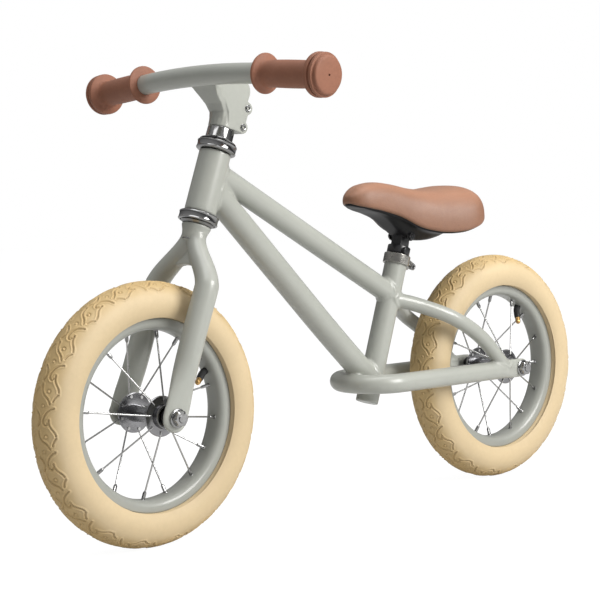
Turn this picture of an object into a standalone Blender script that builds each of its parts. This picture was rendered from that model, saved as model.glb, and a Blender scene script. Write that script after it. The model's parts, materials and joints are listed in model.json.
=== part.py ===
"""Child's balance bike, 12 inch: a Blender 4.5 model in metres, +Z up, +X forward, +Y the rider's left.

The origin is on the floor, midway between the two wheels. Each sub-part is one named object. The steering
turns about the head axis, each wheel spins on its axle, the seatpost slides in the seat tube and the saddle
tilts on its clamp bolt, so each moving piece is parented to an empty that stands on its joint's axis.
"""

from math import cos, pi, radians, sin

import bmesh
import bpy
from mathutils import Matrix, Vector

# ---- Driving dimensions, in metres and degrees ----
GAP = 0.0003  # between solids that touch on the real bike
RUN = 0.0006  # between a turning or sliding piece and what it moves in

# Wheels. Angles run from the rear up, seen from the left.
WHEELBASE = 0.590
TYRE_RADIUS = 0.150
TYRE_SECTION = 0.0265  # half the tyre's width
TYRE_WALL = 0.0038
BEAD_WALL = 0.0034
CASING_DROP = 0.0145  # from the middle of the tyre's section down to the rim's edge
TUBE_CLEARANCE = 0.0012
RIM_HALF_WIDTH = 0.0155
RIM_DEPTH = 0.0135
RIM_WALL = 0.0015
RIM_FLOOR_WALL = 0.0022
RIM_CORNER = 0.0050
VALVE_HOLE_RADIUS = 0.0045
VALVE_RADIUS = 0.0032
VALVE_LENGTH = 0.0200
VALVE_CAP_RADIUS = 0.0030
VALVE_CAP_LENGTH = 0.0075
FRONT_VALVE_ANGLE = 25.75
REAR_VALVE_ANGLE = 53.75
FRONT_SPOKE_ANGLE = -8.0  # of a spoke on the left flange
REAR_SPOKE_ANGLE = 20.0
SPOKES_PER_FLANGE = 8
SPOKE_RADIUS = 0.0010
SPOKE_EDGE = 0.0035  # from the spoke holes to the flange's edge
NIPPLE_RADIUS = 0.0019
NIPPLE_LENGTH = 0.0110
NIPPLE_OFFSET = 0.0035  # from the wheel's middle plane

# Hubs and axles
AXLE_RADIUS = 0.0047
AXLE_STAND_OUT = 0.0095  # beyond the flattened tube ends
CONE_WALL = 0.0012
CONE_LIP = 0.0037
CONE_REACH = 0.0090  # from the hub's end to the flattened tube ends
CONE_DEPTH = 0.0050  # how far the cone enters the hub
BALL_RING_WIDTH = 0.0051
BALL_RING_SETBACK = 0.0016
BALL_RING_DEPTH = 0.0068
HUB_CUP_WALL = 0.0020
HUB_CUP_END = 0.0350
HUB_SPACING = 0.0245  # from the wheel's middle to a hub flange
FLANGE_RADIUS = 0.0230
FLANGE_THICKNESS = 0.0024
BARREL_CLEARANCE = 0.0033
BARREL_WALL = 0.0018
DROPOUT_THICKNESS = 0.0090
NUT_WALL = 0.0035
NUT_HEIGHT = 0.0065
NUT_FLANGE_LIP = 0.0020
NUT_FLANGE_HEIGHT = 0.0016
EDGE = 0.0004  # small chamfers

# Headset, fork and stem. Heights run up the steering axis from the head tube's lower end.
HEAD_ANGLE = 69.4
HEAD_LENGTH = 0.0740
HEAD_CLEARANCE = 0.0036
HEAD_WALL = 0.0022
STEERER_RADIUS = 0.0127
STEERER_WALL = 0.0024
FORK_CLEARANCE = 0.0876  # from the tyre up to the head tube's lower end
FORK_RAKE = 0.0008
HEADSET_LIP = 0.0047
HEADSET_FLOOR = 0.0035
CUP_HEIGHT = 0.0110
CUP_WALL = 0.0026
CUP_CHAMFER = 0.0020
RACE_HEIGHT = 0.0026
RACE_SETBACK = 0.0010
NECK_WALL = 0.0028
NECK_HEIGHT = 0.0140
CROWN_WALL = 0.0010
CROWN_FLARE = 0.0030
CROWN_FLARE_HEIGHT = 0.0110
CROWN_LENGTH = 0.0220
CROWN_FLOOR = 0.0030
BLADE_RADIUS = 0.0138
BLADE_TOP_RADIUS = 0.0118
BLADE_TOP_SPREAD = 0.0035
BLADE_TIP_RADIUS = 0.0165
TYRE_CLEARANCE = 0.0052  # from the tyre's side to a fork blade
SHOULDER_LENGTH = 0.0640  # from the crown's top down to where the blades run straight
BRIDGE_DROP = 0.0480
BRIDGE_HEIGHT = 0.0120
BRIDGE_THICKNESS = 0.0040
BRIDGE_REACH = 0.45  # of the blades' spread
STEM_WALL = 0.0030
STEM_FRONT = 0.0115  # half width of the stem's front edge at its foot
STEM_FOOT = 0.0085
STEM_TOP_HALF_WIDTH = 0.0250
STEM_BITE = 0.45  # how much of the bar's radius sinks into the stem
STEM_GRASP = 0.0440  # how much of the steerer the stem holds
STEM_LOBE_BACK = 0.0180
STEM_LOBE_RADIUS = 0.0078
STEM_BOLT_HEIGHTS = (0.0082, 0.0315)  # above the stem's foot
STEM_BOLT_RADIUS = 0.0027
STEM_SLOT = 0.0028
BOLT_HEAD_SCALE = 1.75

# Handlebar and grips
BAR_RADIUS = 0.0118
BAR_WALL = 0.0016
BAR_HALF_WIDTH = 0.2000
BAR_REACH = 0.0370  # the bar's ends ahead of the steering axis
BAR_HEIGHT = 0.1413
BAR_SWEEP = 0.0110
BAR_RISE = 0.0085
GRIP_CAP = 0.0032  # how far a grip's end stands beyond the bar's
GRIP_LENGTH = 0.0980
GRIP_WALL = 0.0027
GRIP_INNER_LIP = 0.0077
GRIP_OUTER_LIP = 0.0097
GRIP_STEP = 0.0036
GRIP_VENT_RADIUS = 0.0013

# Frame. Points in the middle plane are (forward of the bike's middle, above the axles).
SEAT_ANGLE = 71.2
SEAT_TUBE_TOP = (-0.1134, 0.1538)
SEAT_TUBE_LENGTH = 0.1885
SEAT_TUBE_WALL = 0.0013
TOP_TUBE_RADIUS = 0.0135
DOWN_TUBE_RADIUS = 0.0155
FRAME_WALL = 0.0016
TOP_TUBE_ON_HEAD = 0.0532  # above the head tube's lower end
TOP_TUBE_ON_SEAT = 0.0466  # below the seat tube's top
DOWN_TUBE_ON_HEAD = 0.0352
DOWN_TUBE_BEND = (0.0080, 0.0660)
DOWN_TUBE_ON_SEAT = 0.1610
STAY_RADIUS = 0.0120
STAY_CLEARANCE = 0.0075  # from the tyre's side to the chainstay hoop
STAY_FRONT = -0.0235  # centre of the hoop's front
STAY_FRONT_RISE = 0.0020
STAY_END_OVERHANG = 0.0130
SEAT_STAY_RADIUS = 0.0095
SEAT_STAY_ON_SEAT = 0.0530
SEAT_STAY_SHOULDER = (-0.0320, 0.0190, -0.0090)  # from where the stays leave the seat tube
SEAT_STAY_KNEE = (-0.0757, 0.0430, -0.0286)
SEAT_STAY_CALF = (0.0750, 0.0475, 0.0460)  # from the rear axle
SEAT_STAY_FOOT = (0.0350, 0.0460, 0.0070)

# Seatpost, collar and saddle. Heights run up the seat tube from its top.
POST_RADIUS = 0.0127
POST_CLEARANCE = 0.0003
POST_NECKING = 0.0016
POST_INSERTION = 0.1050
POST_SHOULDER = 0.0040
COLLAR_WALL = 0.0026
COLLAR_HEIGHT = 0.0125
COLLAR_LIFT = 0.0020
COLLAR_EAR_LENGTH = 0.0145
COLLAR_EAR_HALF_WIDTH = 0.0058
COLLAR_SLOT = 0.0028
COLLAR_BOLT_RADIUS = 0.0028
COLLAR_BOLT_BACK = 0.0080
COLLAR_BOLT_HEAD = 0.0045
PIVOT_HEIGHT = 0.0303  # the bolt that the saddle tilts on
CLAMP_TOP = 0.0165
CLAMP_WALL = 0.0033
CLAMP_CAP = 0.0020
CLAMP_EAR_RADIUS = 0.0080
CLAMP_EAR_HALF_WIDTH = 0.0070
CHEEK_THICKNESS = 0.0084
CLAMP_BOLT_RADIUS = 0.0030
CLAMP_NUT_RADIUS = 0.0060
CLAMP_NUT_HEIGHT = 0.0052
SADDLE_LIP = 0.0035
SADDLE_BASE_THICKNESS = 0.0038
SADDLE_ROLL = 0.0040  # height of the cover's rolled lower edge
# Along the saddle from its nose: forward of the pivot, half width, top and underside above the pivot
SADDLE_STATIONS = (
    (0.0932, 0.0090, 0.0505, 0.0395),
    (0.0862, 0.0175, 0.0580, 0.0370),
    (0.0732, 0.0225, 0.0640, 0.0340),
    (0.0532, 0.0260, 0.0660, 0.0295),
    (0.0272, 0.0315, 0.0625, 0.0235),
    (-0.0008, 0.0405, 0.0560, 0.0175),
    (-0.0288, 0.0520, 0.0525, 0.0125),
    (-0.0558, 0.0620, 0.0533, 0.0090),
    (-0.0788, 0.0650, 0.0545, 0.0085),
    (-0.0958, 0.0570, 0.0510, 0.0110),
    (-0.1068, 0.0410, 0.0430, 0.0165),
)
# The base's two cheeks, seen from the side: forward of the pivot and above it
KEEL_OUTLINE = (
    (0.0382, 0.0235),
    (0.0182, 0.0075),
    (-0.0018, -0.0040),
    (-0.0268, -0.0063),
    (-0.0488, -0.0025),
    (-0.0648, 0.0050),
    (-0.0648, 0.0064),
    (-0.0288, 0.0102),
    (-0.0008, 0.0152),
    (0.0272, 0.0212),
)

WHEEL_SIDES = 36
SIDES = 16
BAR_SIDES = 12
SMALL_SIDES = 10
SPOKE_SIDES = 5

# ---- Sizes that follow from them ----
RIM_RADIUS = TYRE_RADIUS - TYRE_SECTION - CASING_DROP
RIM_FLOOR = RIM_RADIUS - RIM_DEPTH
SPOKE_CIRCLE = FLANGE_RADIUS - SPOKE_EDGE
SPOKE_PITCH = 360 / SPOKES_PER_FLANGE
AXLE_BORE = AXLE_RADIUS + GAP
BALL_RING_INNER = AXLE_BORE + CONE_WALL + RUN
CONE_RADIUS = BALL_RING_INNER + CONE_LIP
HUB_CUP_BORE = BALL_RING_INNER + BALL_RING_WIDTH + GAP
HUB_CUP_RADIUS = HUB_CUP_BORE + HUB_CUP_WALL
BARREL_RADIUS = AXLE_RADIUS + BARREL_CLEARANCE + BARREL_WALL
DROPOUT_FACE = HUB_CUP_END + CONE_REACH + DROPOUT_THICKNESS  # outer face of the flattened tube ends
AXLE_END = DROPOUT_FACE + AXLE_STAND_OUT
NUT_RADIUS = AXLE_BORE + NUT_WALL
NUT_FLANGE_RADIUS = NUT_RADIUS + NUT_FLANGE_LIP
STEERER_BORE = STEERER_RADIUS + GAP
HEAD_RADIUS = STEERER_RADIUS + HEAD_CLEARANCE + HEAD_WALL
HEADSET_RADIUS = HEAD_RADIUS + HEADSET_LIP
CUP_BORE = HEADSET_RADIUS - CUP_WALL
CUP_HOLE = HEAD_RADIUS - HEAD_WALL - GAP - HEAD_CLEARANCE / 2
NECK_RADIUS = STEERER_BORE + NECK_WALL
STEM_SIDE = STEERER_BORE + STEM_WALL
CROWN_NECK_RADIUS = STEERER_BORE + CROWN_WALL
CROWN_TOP_RADIUS = CROWN_NECK_RADIUS + CROWN_FLARE
FORK_LENGTH = TYRE_RADIUS + FORK_CLEARANCE
BLADE_SPREAD = TYRE_SECTION + TYRE_CLEARANCE + BLADE_RADIUS
GRIP_BORE = BAR_RADIUS + GAP
GRIP_RADIUS = GRIP_BORE + GRIP_WALL
GRIP_END = BAR_HALF_WIDTH + GRIP_CAP
STAY_SPREAD = TYRE_SECTION + STAY_CLEARANCE + STAY_RADIUS
SEAT_TUBE_RADIUS = POST_RADIUS + POST_CLEARANCE + SEAT_TUBE_WALL
COLLAR_RADIUS = SEAT_TUBE_RADIUS + GAP + COLLAR_WALL
POST_TIP_RADIUS = POST_RADIUS - POST_NECKING
CHEEK_IN = CLAMP_EAR_HALF_WIDTH + RUN
CHEEK_OUT = CHEEK_IN + CHEEK_THICKNESS
CLAMP_NUT_FACE = CHEEK_OUT + GAP + CLAMP_NUT_HEIGHT
UPPER_CUP_TOP = HEAD_LENGTH + GAP + CUP_HEIGHT
NECK_BOTTOM = UPPER_CUP_TOP + RUN + RACE_HEIGHT
STEM_BOTTOM = NECK_BOTTOM + NECK_HEIGHT + GAP
CROWN_TOP = -(GAP + CUP_HEIGHT + RUN + RACE_HEIGHT)


# ---- Materials ----
def finish(name, colour, roughness, metallic=0.0):
    material = bpy.data.materials.new(name)
    material.use_nodes = True
    shader = material.node_tree.nodes["Principled BSDF"]
    shader.inputs["Base Color"].default_value = (*colour, 1.0)
    shader.inputs["Roughness"].default_value = roughness
    shader.inputs["Metallic"].default_value = metallic
    material.diffuse_color = (*colour, 1.0)
    return material


PAINT_SAGE = finish("paint_sage", (0.38, 0.39, 0.33), 0.35)
RUBBER_CREAM = finish("rubber_cream", (0.72, 0.57, 0.31), 0.75)
RUBBER_BLACK = finish("rubber_black", (0.02, 0.02, 0.02), 0.60)
RUBBER_BROWN = finish("rubber_brown", (0.34, 0.16, 0.10), 0.65)
LEATHER_BROWN = finish("leather_brown", (0.42, 0.22, 0.14), 0.50)
PLASTIC_BLACK = finish("plastic_black", (0.02, 0.02, 0.02), 0.45)
STEEL_BLACK = finish("steel_black", (0.02, 0.02, 0.02), 0.35)
CHROME = finish("chrome", (0.70, 0.70, 0.70), 0.12, 1.0)
STEEL_BRIGHT = finish("steel_bright", (0.60, 0.60, 0.60), 0.25, 1.0)
STEEL_DARK = finish("steel_dark", (0.25, 0.25, 0.25), 0.35, 1.0)
STEEL_SATIN = finish("steel_satin", (0.55, 0.54, 0.50), 0.35, 1.0)
BRASS = finish("brass", (0.75, 0.50, 0.22), 0.30, 1.0)


# ---- Places ----
SIDEWAYS = Vector((0, 1, 0))
FORWARD = Vector((1, 0, 0))
UPWARD = Vector((0, 0, 1))
FRONT_HUB = Vector((WHEELBASE / 2, 0, TYRE_RADIUS))
REAR_HUB = Vector((-WHEELBASE / 2, 0, TYRE_RADIUS))
STEER_UP = Vector((-cos(radians(HEAD_ANGLE)), 0, sin(radians(HEAD_ANGLE))))
STEER_FORWARD = Vector((sin(radians(HEAD_ANGLE)), 0, cos(radians(HEAD_ANGLE))))
HEAD_LOW = FRONT_HUB + STEER_UP * FORK_LENGTH - STEER_FORWARD * FORK_RAKE
SEAT_UP = Vector((-cos(radians(SEAT_ANGLE)), 0, sin(radians(SEAT_ANGLE))))
SEAT_FORWARD = Vector((sin(radians(SEAT_ANGLE)), 0, cos(radians(SEAT_ANGLE))))


def middle_point(place):
    """A point of the middle plane, from its distance forward of the bike's middle and above the axles."""
    return Vector((place[0], 0, TYRE_RADIUS + place[1]))


SEAT_TOP = middle_point(SEAT_TUBE_TOP)
PIVOT = SEAT_TOP + SEAT_UP * PIVOT_HEIGHT


def steering_point(forward, left, up):
    """A point measured from the head tube's lower end: ahead of the axis, to the left, and up along it."""
    return HEAD_LOW + STEER_FORWARD * forward + SIDEWAYS * left + STEER_UP * up


def seat_point(forward, left, up):
    """A point measured from the seat tube's upper end, up along the seat tube."""
    return SEAT_TOP + SEAT_FORWARD * forward + SIDEWAYS * left + SEAT_UP * up


def axis_frame(origin, along, across=SIDEWAYS):
    """A matrix whose Z runs along the axis, with its X nearest to across."""
    z = Vector(along).normalized()
    x = (Vector(across) - z * Vector(across).dot(z)).normalized()
    y = z.cross(x)
    matrix = Matrix((x, y, z)).transposed().to_4x4()
    matrix.translation = origin
    return matrix


# ---- Shape helpers ----
def add_object(name, bm, material, parent=None):
    """Makes an object of the bmesh, in world coordinates, smooth where its faces turn gently."""
    bmesh.ops.recalc_face_normals(bm, faces=bm.faces)
    mesh = bpy.data.meshes.new(name)
    bm.to_mesh(mesh)
    bm.free()
    mesh.shade_smooth()
    mesh.set_sharp_from_angle(angle=radians(35))
    if material:
        mesh.materials.append(material)
    obj = bpy.data.objects.new(name, mesh)
    bpy.context.scene.collection.objects.link(obj)
    if parent:
        obj.parent = parent
        obj.matrix_parent_inverse = parent.matrix_world.inverted()
    return obj


def loft(rings, closed):
    """A bmesh through rings of points. Closed joins the last ring to the first; else the ends are capped."""
    bm = bmesh.new()
    rows = [[bm.verts.new(point) for point in ring] for ring in rings]
    pairs = list(zip(rows, rows[1:]))
    if closed:
        pairs.append((rows[-1], rows[0]))
    for one, other in pairs:
        count = max(len(one), len(other))
        for i in range(count):
            j = (i + 1) % count
            corners = [one[i % len(one)], one[j % len(one)], other[j % len(other)], other[i % len(other)]]
            bm.faces.new(list(dict.fromkeys(corners)))
    if not closed:
        for row in (rows[0], rows[-1]):
            if len(row) > 2:
                bm.faces.new(row)
    return bm


def turned(profile, matrix, sides, closed=False):
    """Turns a profile of (radius, height) points about the matrix's Z. A radius of 0 is a point."""
    rings = []
    for radius, height in profile:
        if radius == 0:
            rings.append([matrix @ Vector((0, 0, height))])
            continue
        turns = [2 * pi * (i + 0.5) / sides for i in range(sides)]
        rings.append([matrix @ Vector((radius * cos(t), radius * sin(t), height)) for t in turns])
    return loft(rings, closed)


def rod(matrix, radius, low, high, sides=SMALL_SIDES):
    """A solid round bar along the matrix's Z."""
    return turned([(0, low), (radius, low), (radius, high), (0, high)], matrix, sides)


def section(centre, tangent, across, half_across, half_up, sides):
    """An ellipse of points square to the tangent."""
    side = (across - tangent * across.dot(tangent)).normalized()
    up = tangent.cross(side)
    turns = [2 * pi * (i + 0.5) / sides for i in range(sides)]
    return [centre + side * (half_across * cos(t)) + up * (half_up * sin(t)) for t in turns]


def swept(path, sizes, across, sides, wall=0.0):
    """A tube along the path. sizes holds each point's half sizes; with a wall, it is open at both ends."""
    tangents = []
    for i in range(len(path)):
        before, after = path[max(i - 1, 0)], path[min(i + 1, len(path) - 1)]
        tangents.append((after - before).normalized())
    outer = [section(p, t, across, a, b, sides) for p, t, (a, b) in zip(path, tangents, sizes)]
    if not wall:
        return loft(outer, False)
    inner = [section(p, t, across, a - wall, b - wall, sides) for p, t, (a, b) in zip(path, tangents, sizes)]
    return loft(outer + inner[::-1], True)


def round_tube(path, radius, sides, wall=0.0, across=SIDEWAYS):
    return swept(path, [(radius, radius)] * len(path), across, sides, wall)


def curve_through(points, steps):
    """A smooth path through the points."""
    ends = [points[0] * 2 - points[1], *points, points[-1] * 2 - points[-2]]
    path = [points[0]]
    for a, b, c, d in zip(ends, ends[1:], ends[2:], ends[3:]):
        for i in range(1, steps + 1):
            t = i / steps
            bend = (c - a) * t + (2 * a - 5 * b + 4 * c - d) * t**2 + (3 * b - a - 3 * c + d) * t**3
            path.append(b + 0.5 * bend)
    return path


def plate(outline, low, high):
    """Extrudes an outline of points along +Y, from low to high."""
    return loft([[Vector((p.x, y, p.z)) for p in outline] for y in (low, high)], False)


def arc(centre, radius, start, end, steps):
    """Points of an arc in the XZ plane, from start to end degrees, from +X towards +Z."""
    angles = [radians(start + (end - start) * i / steps) for i in range(steps + 1)]
    return [centre + Vector((radius * cos(a), 0, radius * sin(a))) for a in angles]


def one_side(bm, sign):
    """Keeps what lies on one side of the middle plane, and closes the cut."""
    geometry = [*bm.verts, *bm.edges, *bm.faces]
    plane = SIDEWAYS * (sign * GAP / 2)
    bmesh.ops.bisect_plane(bm, geom=geometry, plane_co=plane, plane_no=-SIDEWAYS * sign, clear_outer=True)
    bmesh.ops.holes_fill(bm, edges=[edge for edge in bm.edges if edge.is_boundary])
    return bm


def helper(name, bm):
    """A shape that only cuts or joins, and isn't a part."""
    obj = add_object("shape_" + name, bm, None)
    obj.hide_render = True
    obj.display_type = "WIRE"
    return obj


def combine(obj, other, operation):
    modifier = obj.modifiers.new(other.name, "BOOLEAN")
    modifier.operation = operation
    modifier.object = other


def cut(obj, name, bm):
    combine(obj, helper(name, bm), "DIFFERENCE")


def join(obj, name, bm):
    combine(obj, helper(name, bm), "UNION")


def joint_empty(name, place, parent=None):
    """An empty on a joint's axis, which the pieces that move with it are parented to."""
    empty = bpy.data.objects.new(name, None)
    empty.location = place
    bpy.context.scene.collection.objects.link(empty)
    if parent:
        empty.parent = parent
        empty.matrix_parent_inverse = parent.matrix_world.inverted()
    bpy.context.view_layer.update()
    return empty


def both_sides():
    return (("left", 1), ("right", -1))


def wheel_frame(hub):
    return axis_frame(hub, SIDEWAYS, FORWARD)


# ---- Wheels ----
def spread_arc(middle, size, start, end, steps):
    """(radius, height) points of a round section about the middle of the tyre, 90 degrees being the tread."""
    angles = [radians(start + (end - start) * i / steps) for i in range(steps + 1)]
    return [(middle + size * sin(a), size * cos(a)) for a in angles]


def make_tyre(side, matrix, body):
    """The casing, open at its beads, which sit inside the rim's walls."""
    middle = TYRE_RADIUS - TYRE_SECTION
    edge = RIM_RADIUS + RUN
    bead_out = RIM_HALF_WIDTH - RIM_WALL - GAP
    bead_in = bead_out - BEAD_WALL
    toe = RIM_FLOOR + RIM_CORNER
    left_bead = [
        (edge, -RIM_HALF_WIDTH - RUN),
        (edge, -bead_out),
        (toe, -bead_out),
        (toe, -bead_in),
        (edge + BEAD_WALL, -bead_in),
    ]
    right_bead = [(r, -h) for r, h in left_bead[::-1]]
    outer = spread_arc(middle, TYRE_SECTION, -30, 210, 6)
    inner = spread_arc(middle, TYRE_SECTION - TYRE_WALL, 180, 0, 3)
    profile = outer + left_bead + inner + right_bead
    add_object(side + "_tyre", turned(profile, matrix, WHEEL_SIDES, True), RUBBER_CREAM, body)


def make_inner_tube(side, matrix, valve_frame, body):
    """The tube, a solid ring, with its valve stem."""
    neck = RIM_HALF_WIDTH - RIM_WALL - GAP - BEAD_WALL - TUBE_CLEARANCE
    low, high = RIM_RADIUS + RUN, RIM_RADIUS + RUN + BEAD_WALL
    size = TYRE_SECTION - TYRE_WALL - TUBE_CLEARANCE
    profile = spread_arc(TYRE_RADIUS - TYRE_SECTION, size, 0, 180, 3)
    profile = [(low, neck), (high, neck), *profile, (high, -neck), (low, -neck)]
    tube = add_object(side + "_inner_tube", turned(profile, matrix, WHEEL_SIDES, True), RUBBER_BLACK, body)
    tip, seat = RIM_FLOOR - VALVE_LENGTH, RIM_RADIUS + BEAD_WALL
    stem = [
        (0, tip),
        (VALVE_RADIUS * 0.8, tip),
        (VALVE_RADIUS, tip + VALVE_LENGTH * 0.65),
        (VALVE_RADIUS, seat),
        (0, seat),
    ]
    join(tube, side + "_valve_stem", turned(stem, valve_frame, SMALL_SIDES))
    top = tip - GAP
    cap = [
        (0, top - VALVE_CAP_LENGTH),
        (VALVE_CAP_RADIUS * 0.85, top - VALVE_CAP_LENGTH),
        (VALVE_CAP_RADIUS, top - VALVE_CAP_LENGTH * 0.75),
        (VALVE_CAP_RADIUS, top),
        (0, top),
    ]
    add_object(side + "_valve_cap", turned(cap, valve_frame, SMALL_SIDES), BRASS, body)


def make_rim(side, matrix, valve_frame, body):
    inside = RIM_HALF_WIDTH - RIM_WALL
    corner = RIM_FLOOR + RIM_CORNER
    floor = RIM_FLOOR + RIM_FLOOR_WALL
    inset = RIM_HALF_WIDTH - RIM_CORNER
    half = [
        (RIM_FLOOR, inset),
        (corner, RIM_HALF_WIDTH),
        (RIM_RADIUS, RIM_HALF_WIDTH),
        (RIM_RADIUS, inside),
        (corner, inside),
        (floor, inset - RIM_WALL),
    ]
    profile = half + [(r, -h) for r, h in half[::-1]]
    rim = add_object(side + "_rim", turned(profile, matrix, WHEEL_SIDES, True), PAINT_SAGE, body)
    cut(rim, side + "_valve_hole", rod(valve_frame, VALVE_HOLE_RADIUS, RIM_FLOOR - EDGE * 10, corner))


def make_hub(side, matrix, body):
    """A barrel with a bearing cup swaged into each end, and a ring for the balls in each cup."""
    shoulder = HUB_SPACING + FLANGE_THICKNESS / 2 + GAP
    cup_floor = HUB_CUP_END - BALL_RING_DEPTH
    upper = [
        (BARREL_RADIUS, shoulder),
        (HUB_CUP_RADIUS, shoulder + EDGE),
        (HUB_CUP_RADIUS, HUB_CUP_END),
        (HUB_CUP_BORE, HUB_CUP_END),
        (HUB_CUP_BORE, cup_floor),
        (BARREL_RADIUS - BARREL_WALL, cup_floor),
    ]
    barrel = upper + [(r, -h) for r, h in upper[::-1]]
    add_object(side + "_hub_barrel", turned(barrel, matrix, SIDES, True), STEEL_BRIGHT, body)
    low, high = cup_floor + GAP, HUB_CUP_END - BALL_RING_SETBACK
    outside = HUB_CUP_BORE - GAP
    for name, sign in both_sides():
        ring = [(BALL_RING_INNER, low), (outside, low), (outside, high), (BALL_RING_INNER, high)]
        ring = [(r, sign * h) for r, h in ring]
        add_object(f"{side}_bearing_{name}", turned(ring, matrix, SIDES, True), STEEL_DARK, body)


def make_spokes(name, hub, sign, turn, matrix, body):
    """One hub flange with its radial spokes and their nipples, which end just inside the rim."""
    face = FLANGE_THICKNESS / 2
    hole = BARREL_RADIUS + GAP
    disc = [
        (hole, HUB_SPACING - face),
        (FLANGE_RADIUS, HUB_SPACING - face),
        (FLANGE_RADIUS, HUB_SPACING + face),
        (hole, HUB_SPACING + face),
    ]
    disc = [(r, sign * h) for r, h in disc]
    flange = add_object(name, turned(disc, matrix, SIDES, True), STEEL_BRIGHT, body)
    bm = bmesh.new()
    for i in range(SPOKES_PER_FLANGE):
        a = radians(turn + SPOKE_PITCH * i)
        outward = Vector((-cos(a), 0, sin(a)))
        start = hub + outward * SPOKE_CIRCLE + SIDEWAYS * (sign * HUB_SPACING)
        end = hub + outward * (RIM_FLOOR - RUN - GAP) + SIDEWAYS * (sign * NIPPLE_OFFSET)
        along = (end - start).normalized()
        lip = end - along * NIPPLE_LENGTH
        path = [start, lip, lip + along * EDGE, end]
        sizes = [(SPOKE_RADIUS,) * 2] * 2 + [(NIPPLE_RADIUS,) * 2] * 2
        spoke = swept(path, sizes, SIDEWAYS, SPOKE_SIDES)
        mesh = bpy.data.meshes.new(name)
        spoke.to_mesh(mesh)
        spoke.free()
        bm.from_mesh(mesh)
        bpy.data.meshes.remove(mesh)
    join(flange, name + "_wires", bm)


def make_wheel(side, hub, valve_angle, spoke_angle, body):
    """All the pieces that turn about one axle. The right flange's spokes stand between the left one's."""
    matrix = wheel_frame(hub)
    turn = radians(valve_angle)
    valve_frame = axis_frame(hub, Vector((-cos(turn), 0, sin(turn))))
    make_tyre(side, matrix, body)
    make_inner_tube(side, matrix, valve_frame, body)
    make_rim(side, matrix, valve_frame, body)
    make_hub(side, matrix, body)
    make_spokes(side + "_spokes_left", hub, 1, spoke_angle, matrix, body)
    make_spokes(side + "_spokes_right", hub, -1, spoke_angle + SPOKE_PITCH / 2, matrix, body)


def make_axle(side, hub, body=None):
    """The fixed axle with its cones, and the nuts that hold it in the frame or the fork."""
    matrix = wheel_frame(hub)
    add_object(side + "_axle", rod(matrix, AXLE_RADIUS, -AXLE_END, AXLE_END), STEEL_BRIGHT, body)
    cone_start, cone_end = HUB_CUP_END - CONE_DEPTH, DROPOUT_FACE - DROPOUT_THICKNESS - GAP
    cone = [
        (AXLE_BORE, cone_start),
        (BALL_RING_INNER - RUN, cone_start),
        (BALL_RING_INNER - RUN, HUB_CUP_END + RUN),
        (CONE_RADIUS, HUB_CUP_END + RUN + EDGE),
        (CONE_RADIUS, cone_end),
        (AXLE_BORE, cone_end),
    ]
    base = DROPOUT_FACE + GAP
    flange = base + NUT_FLANGE_HEIGHT
    nut = [
        (AXLE_BORE, base),
        (NUT_FLANGE_RADIUS, base),
        (NUT_FLANGE_RADIUS, flange),
        (NUT_RADIUS, flange + EDGE),
        (NUT_RADIUS, flange + NUT_HEIGHT),
        (AXLE_BORE, flange + NUT_HEIGHT),
    ]
    for name, sign in both_sides():
        for piece, profile, finish_of in (("cone", cone, PLASTIC_BLACK), ("axle_nut", nut, STEEL_BRIGHT)):
            ring = turned([(r, sign * h) for r, h in profile], matrix, SMALL_SIDES, True)
            add_object(f"{side}_{piece}_{name}", ring, finish_of, body)


# ---- Frame ----
def make_frame():
    seat_low = seat_point(0, 0, -SEAT_TUBE_LENGTH)
    head_high = steering_point(0, 0, HEAD_LENGTH)
    add_object("head_tube", round_tube([HEAD_LOW, head_high], HEAD_RADIUS, SIDES, HEAD_WALL), PAINT_SAGE)
    add_object("seat_tube", round_tube([seat_low, SEAT_TOP], SEAT_TUBE_RADIUS, SIDES, SEAT_TUBE_WALL), PAINT_SAGE)
    beyond_head = [HEAD_LOW - STEER_UP * HEAD_LENGTH, head_high + STEER_UP * HEAD_LENGTH]
    beyond_seat = [seat_low - SEAT_UP * HEAD_LENGTH, SEAT_TOP + SEAT_UP * HEAD_LENGTH]
    around_head = helper("around_head_tube", round_tube(beyond_head, HEAD_RADIUS + GAP, SIDES))
    around_seat = helper("around_seat_tube", round_tube(beyond_seat, SEAT_TUBE_RADIUS + GAP, SIDES))
    around_hoop = helper("around_hoop", swept(*hoop_shape(GAP), UPWARD, BAR_SIDES))

    top_path = [seat_point(0, 0, -TOP_TUBE_ON_SEAT), steering_point(0, 0, TOP_TUBE_ON_HEAD)]
    top = add_object("top_tube", round_tube(top_path, TOP_TUBE_RADIUS, SIDES, FRAME_WALL), PAINT_SAGE)
    around_top = helper("around_top_tube", round_tube(top_path, TOP_TUBE_RADIUS + GAP, SIDES))

    bend = middle_point(DOWN_TUBE_BEND)
    low_end, high_end = seat_point(0, 0, -DOWN_TUBE_ON_SEAT), steering_point(0, 0, DOWN_TUBE_ON_HEAD)
    down_path = [low_end, bend.lerp(low_end, 0.25), bend.lerp(high_end, 0.15), high_end]
    down = add_object("down_tube", round_tube(down_path, DOWN_TUBE_RADIUS, SIDES, FRAME_WALL), PAINT_SAGE)

    hoop = add_object("chainstay_hoop", swept(*hoop_shape(0.0), UPWARD, BAR_SIDES), PAINT_SAGE)
    cut(hoop, "rear_axle_hole", rod(wheel_frame(REAR_HUB), AXLE_BORE, -AXLE_END, AXLE_END))
    cutters = {top: (around_head, around_seat), down: (around_head, around_seat, around_top, around_hoop)}
    for name, sign in both_sides():
        half = one_side(round_tube(seatstay_path(sign), SEAT_STAY_RADIUS, SMALL_SIDES), sign)
        stay = add_object("seatstay_" + name, half, PAINT_SAGE)
        cutters[stay] = (around_seat, around_hoop)
    cutters[hoop] = (around_seat,)
    for piece, shapes in cutters.items():
        for shape in shapes:
            combine(piece, shape, "DIFFERENCE")


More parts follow.
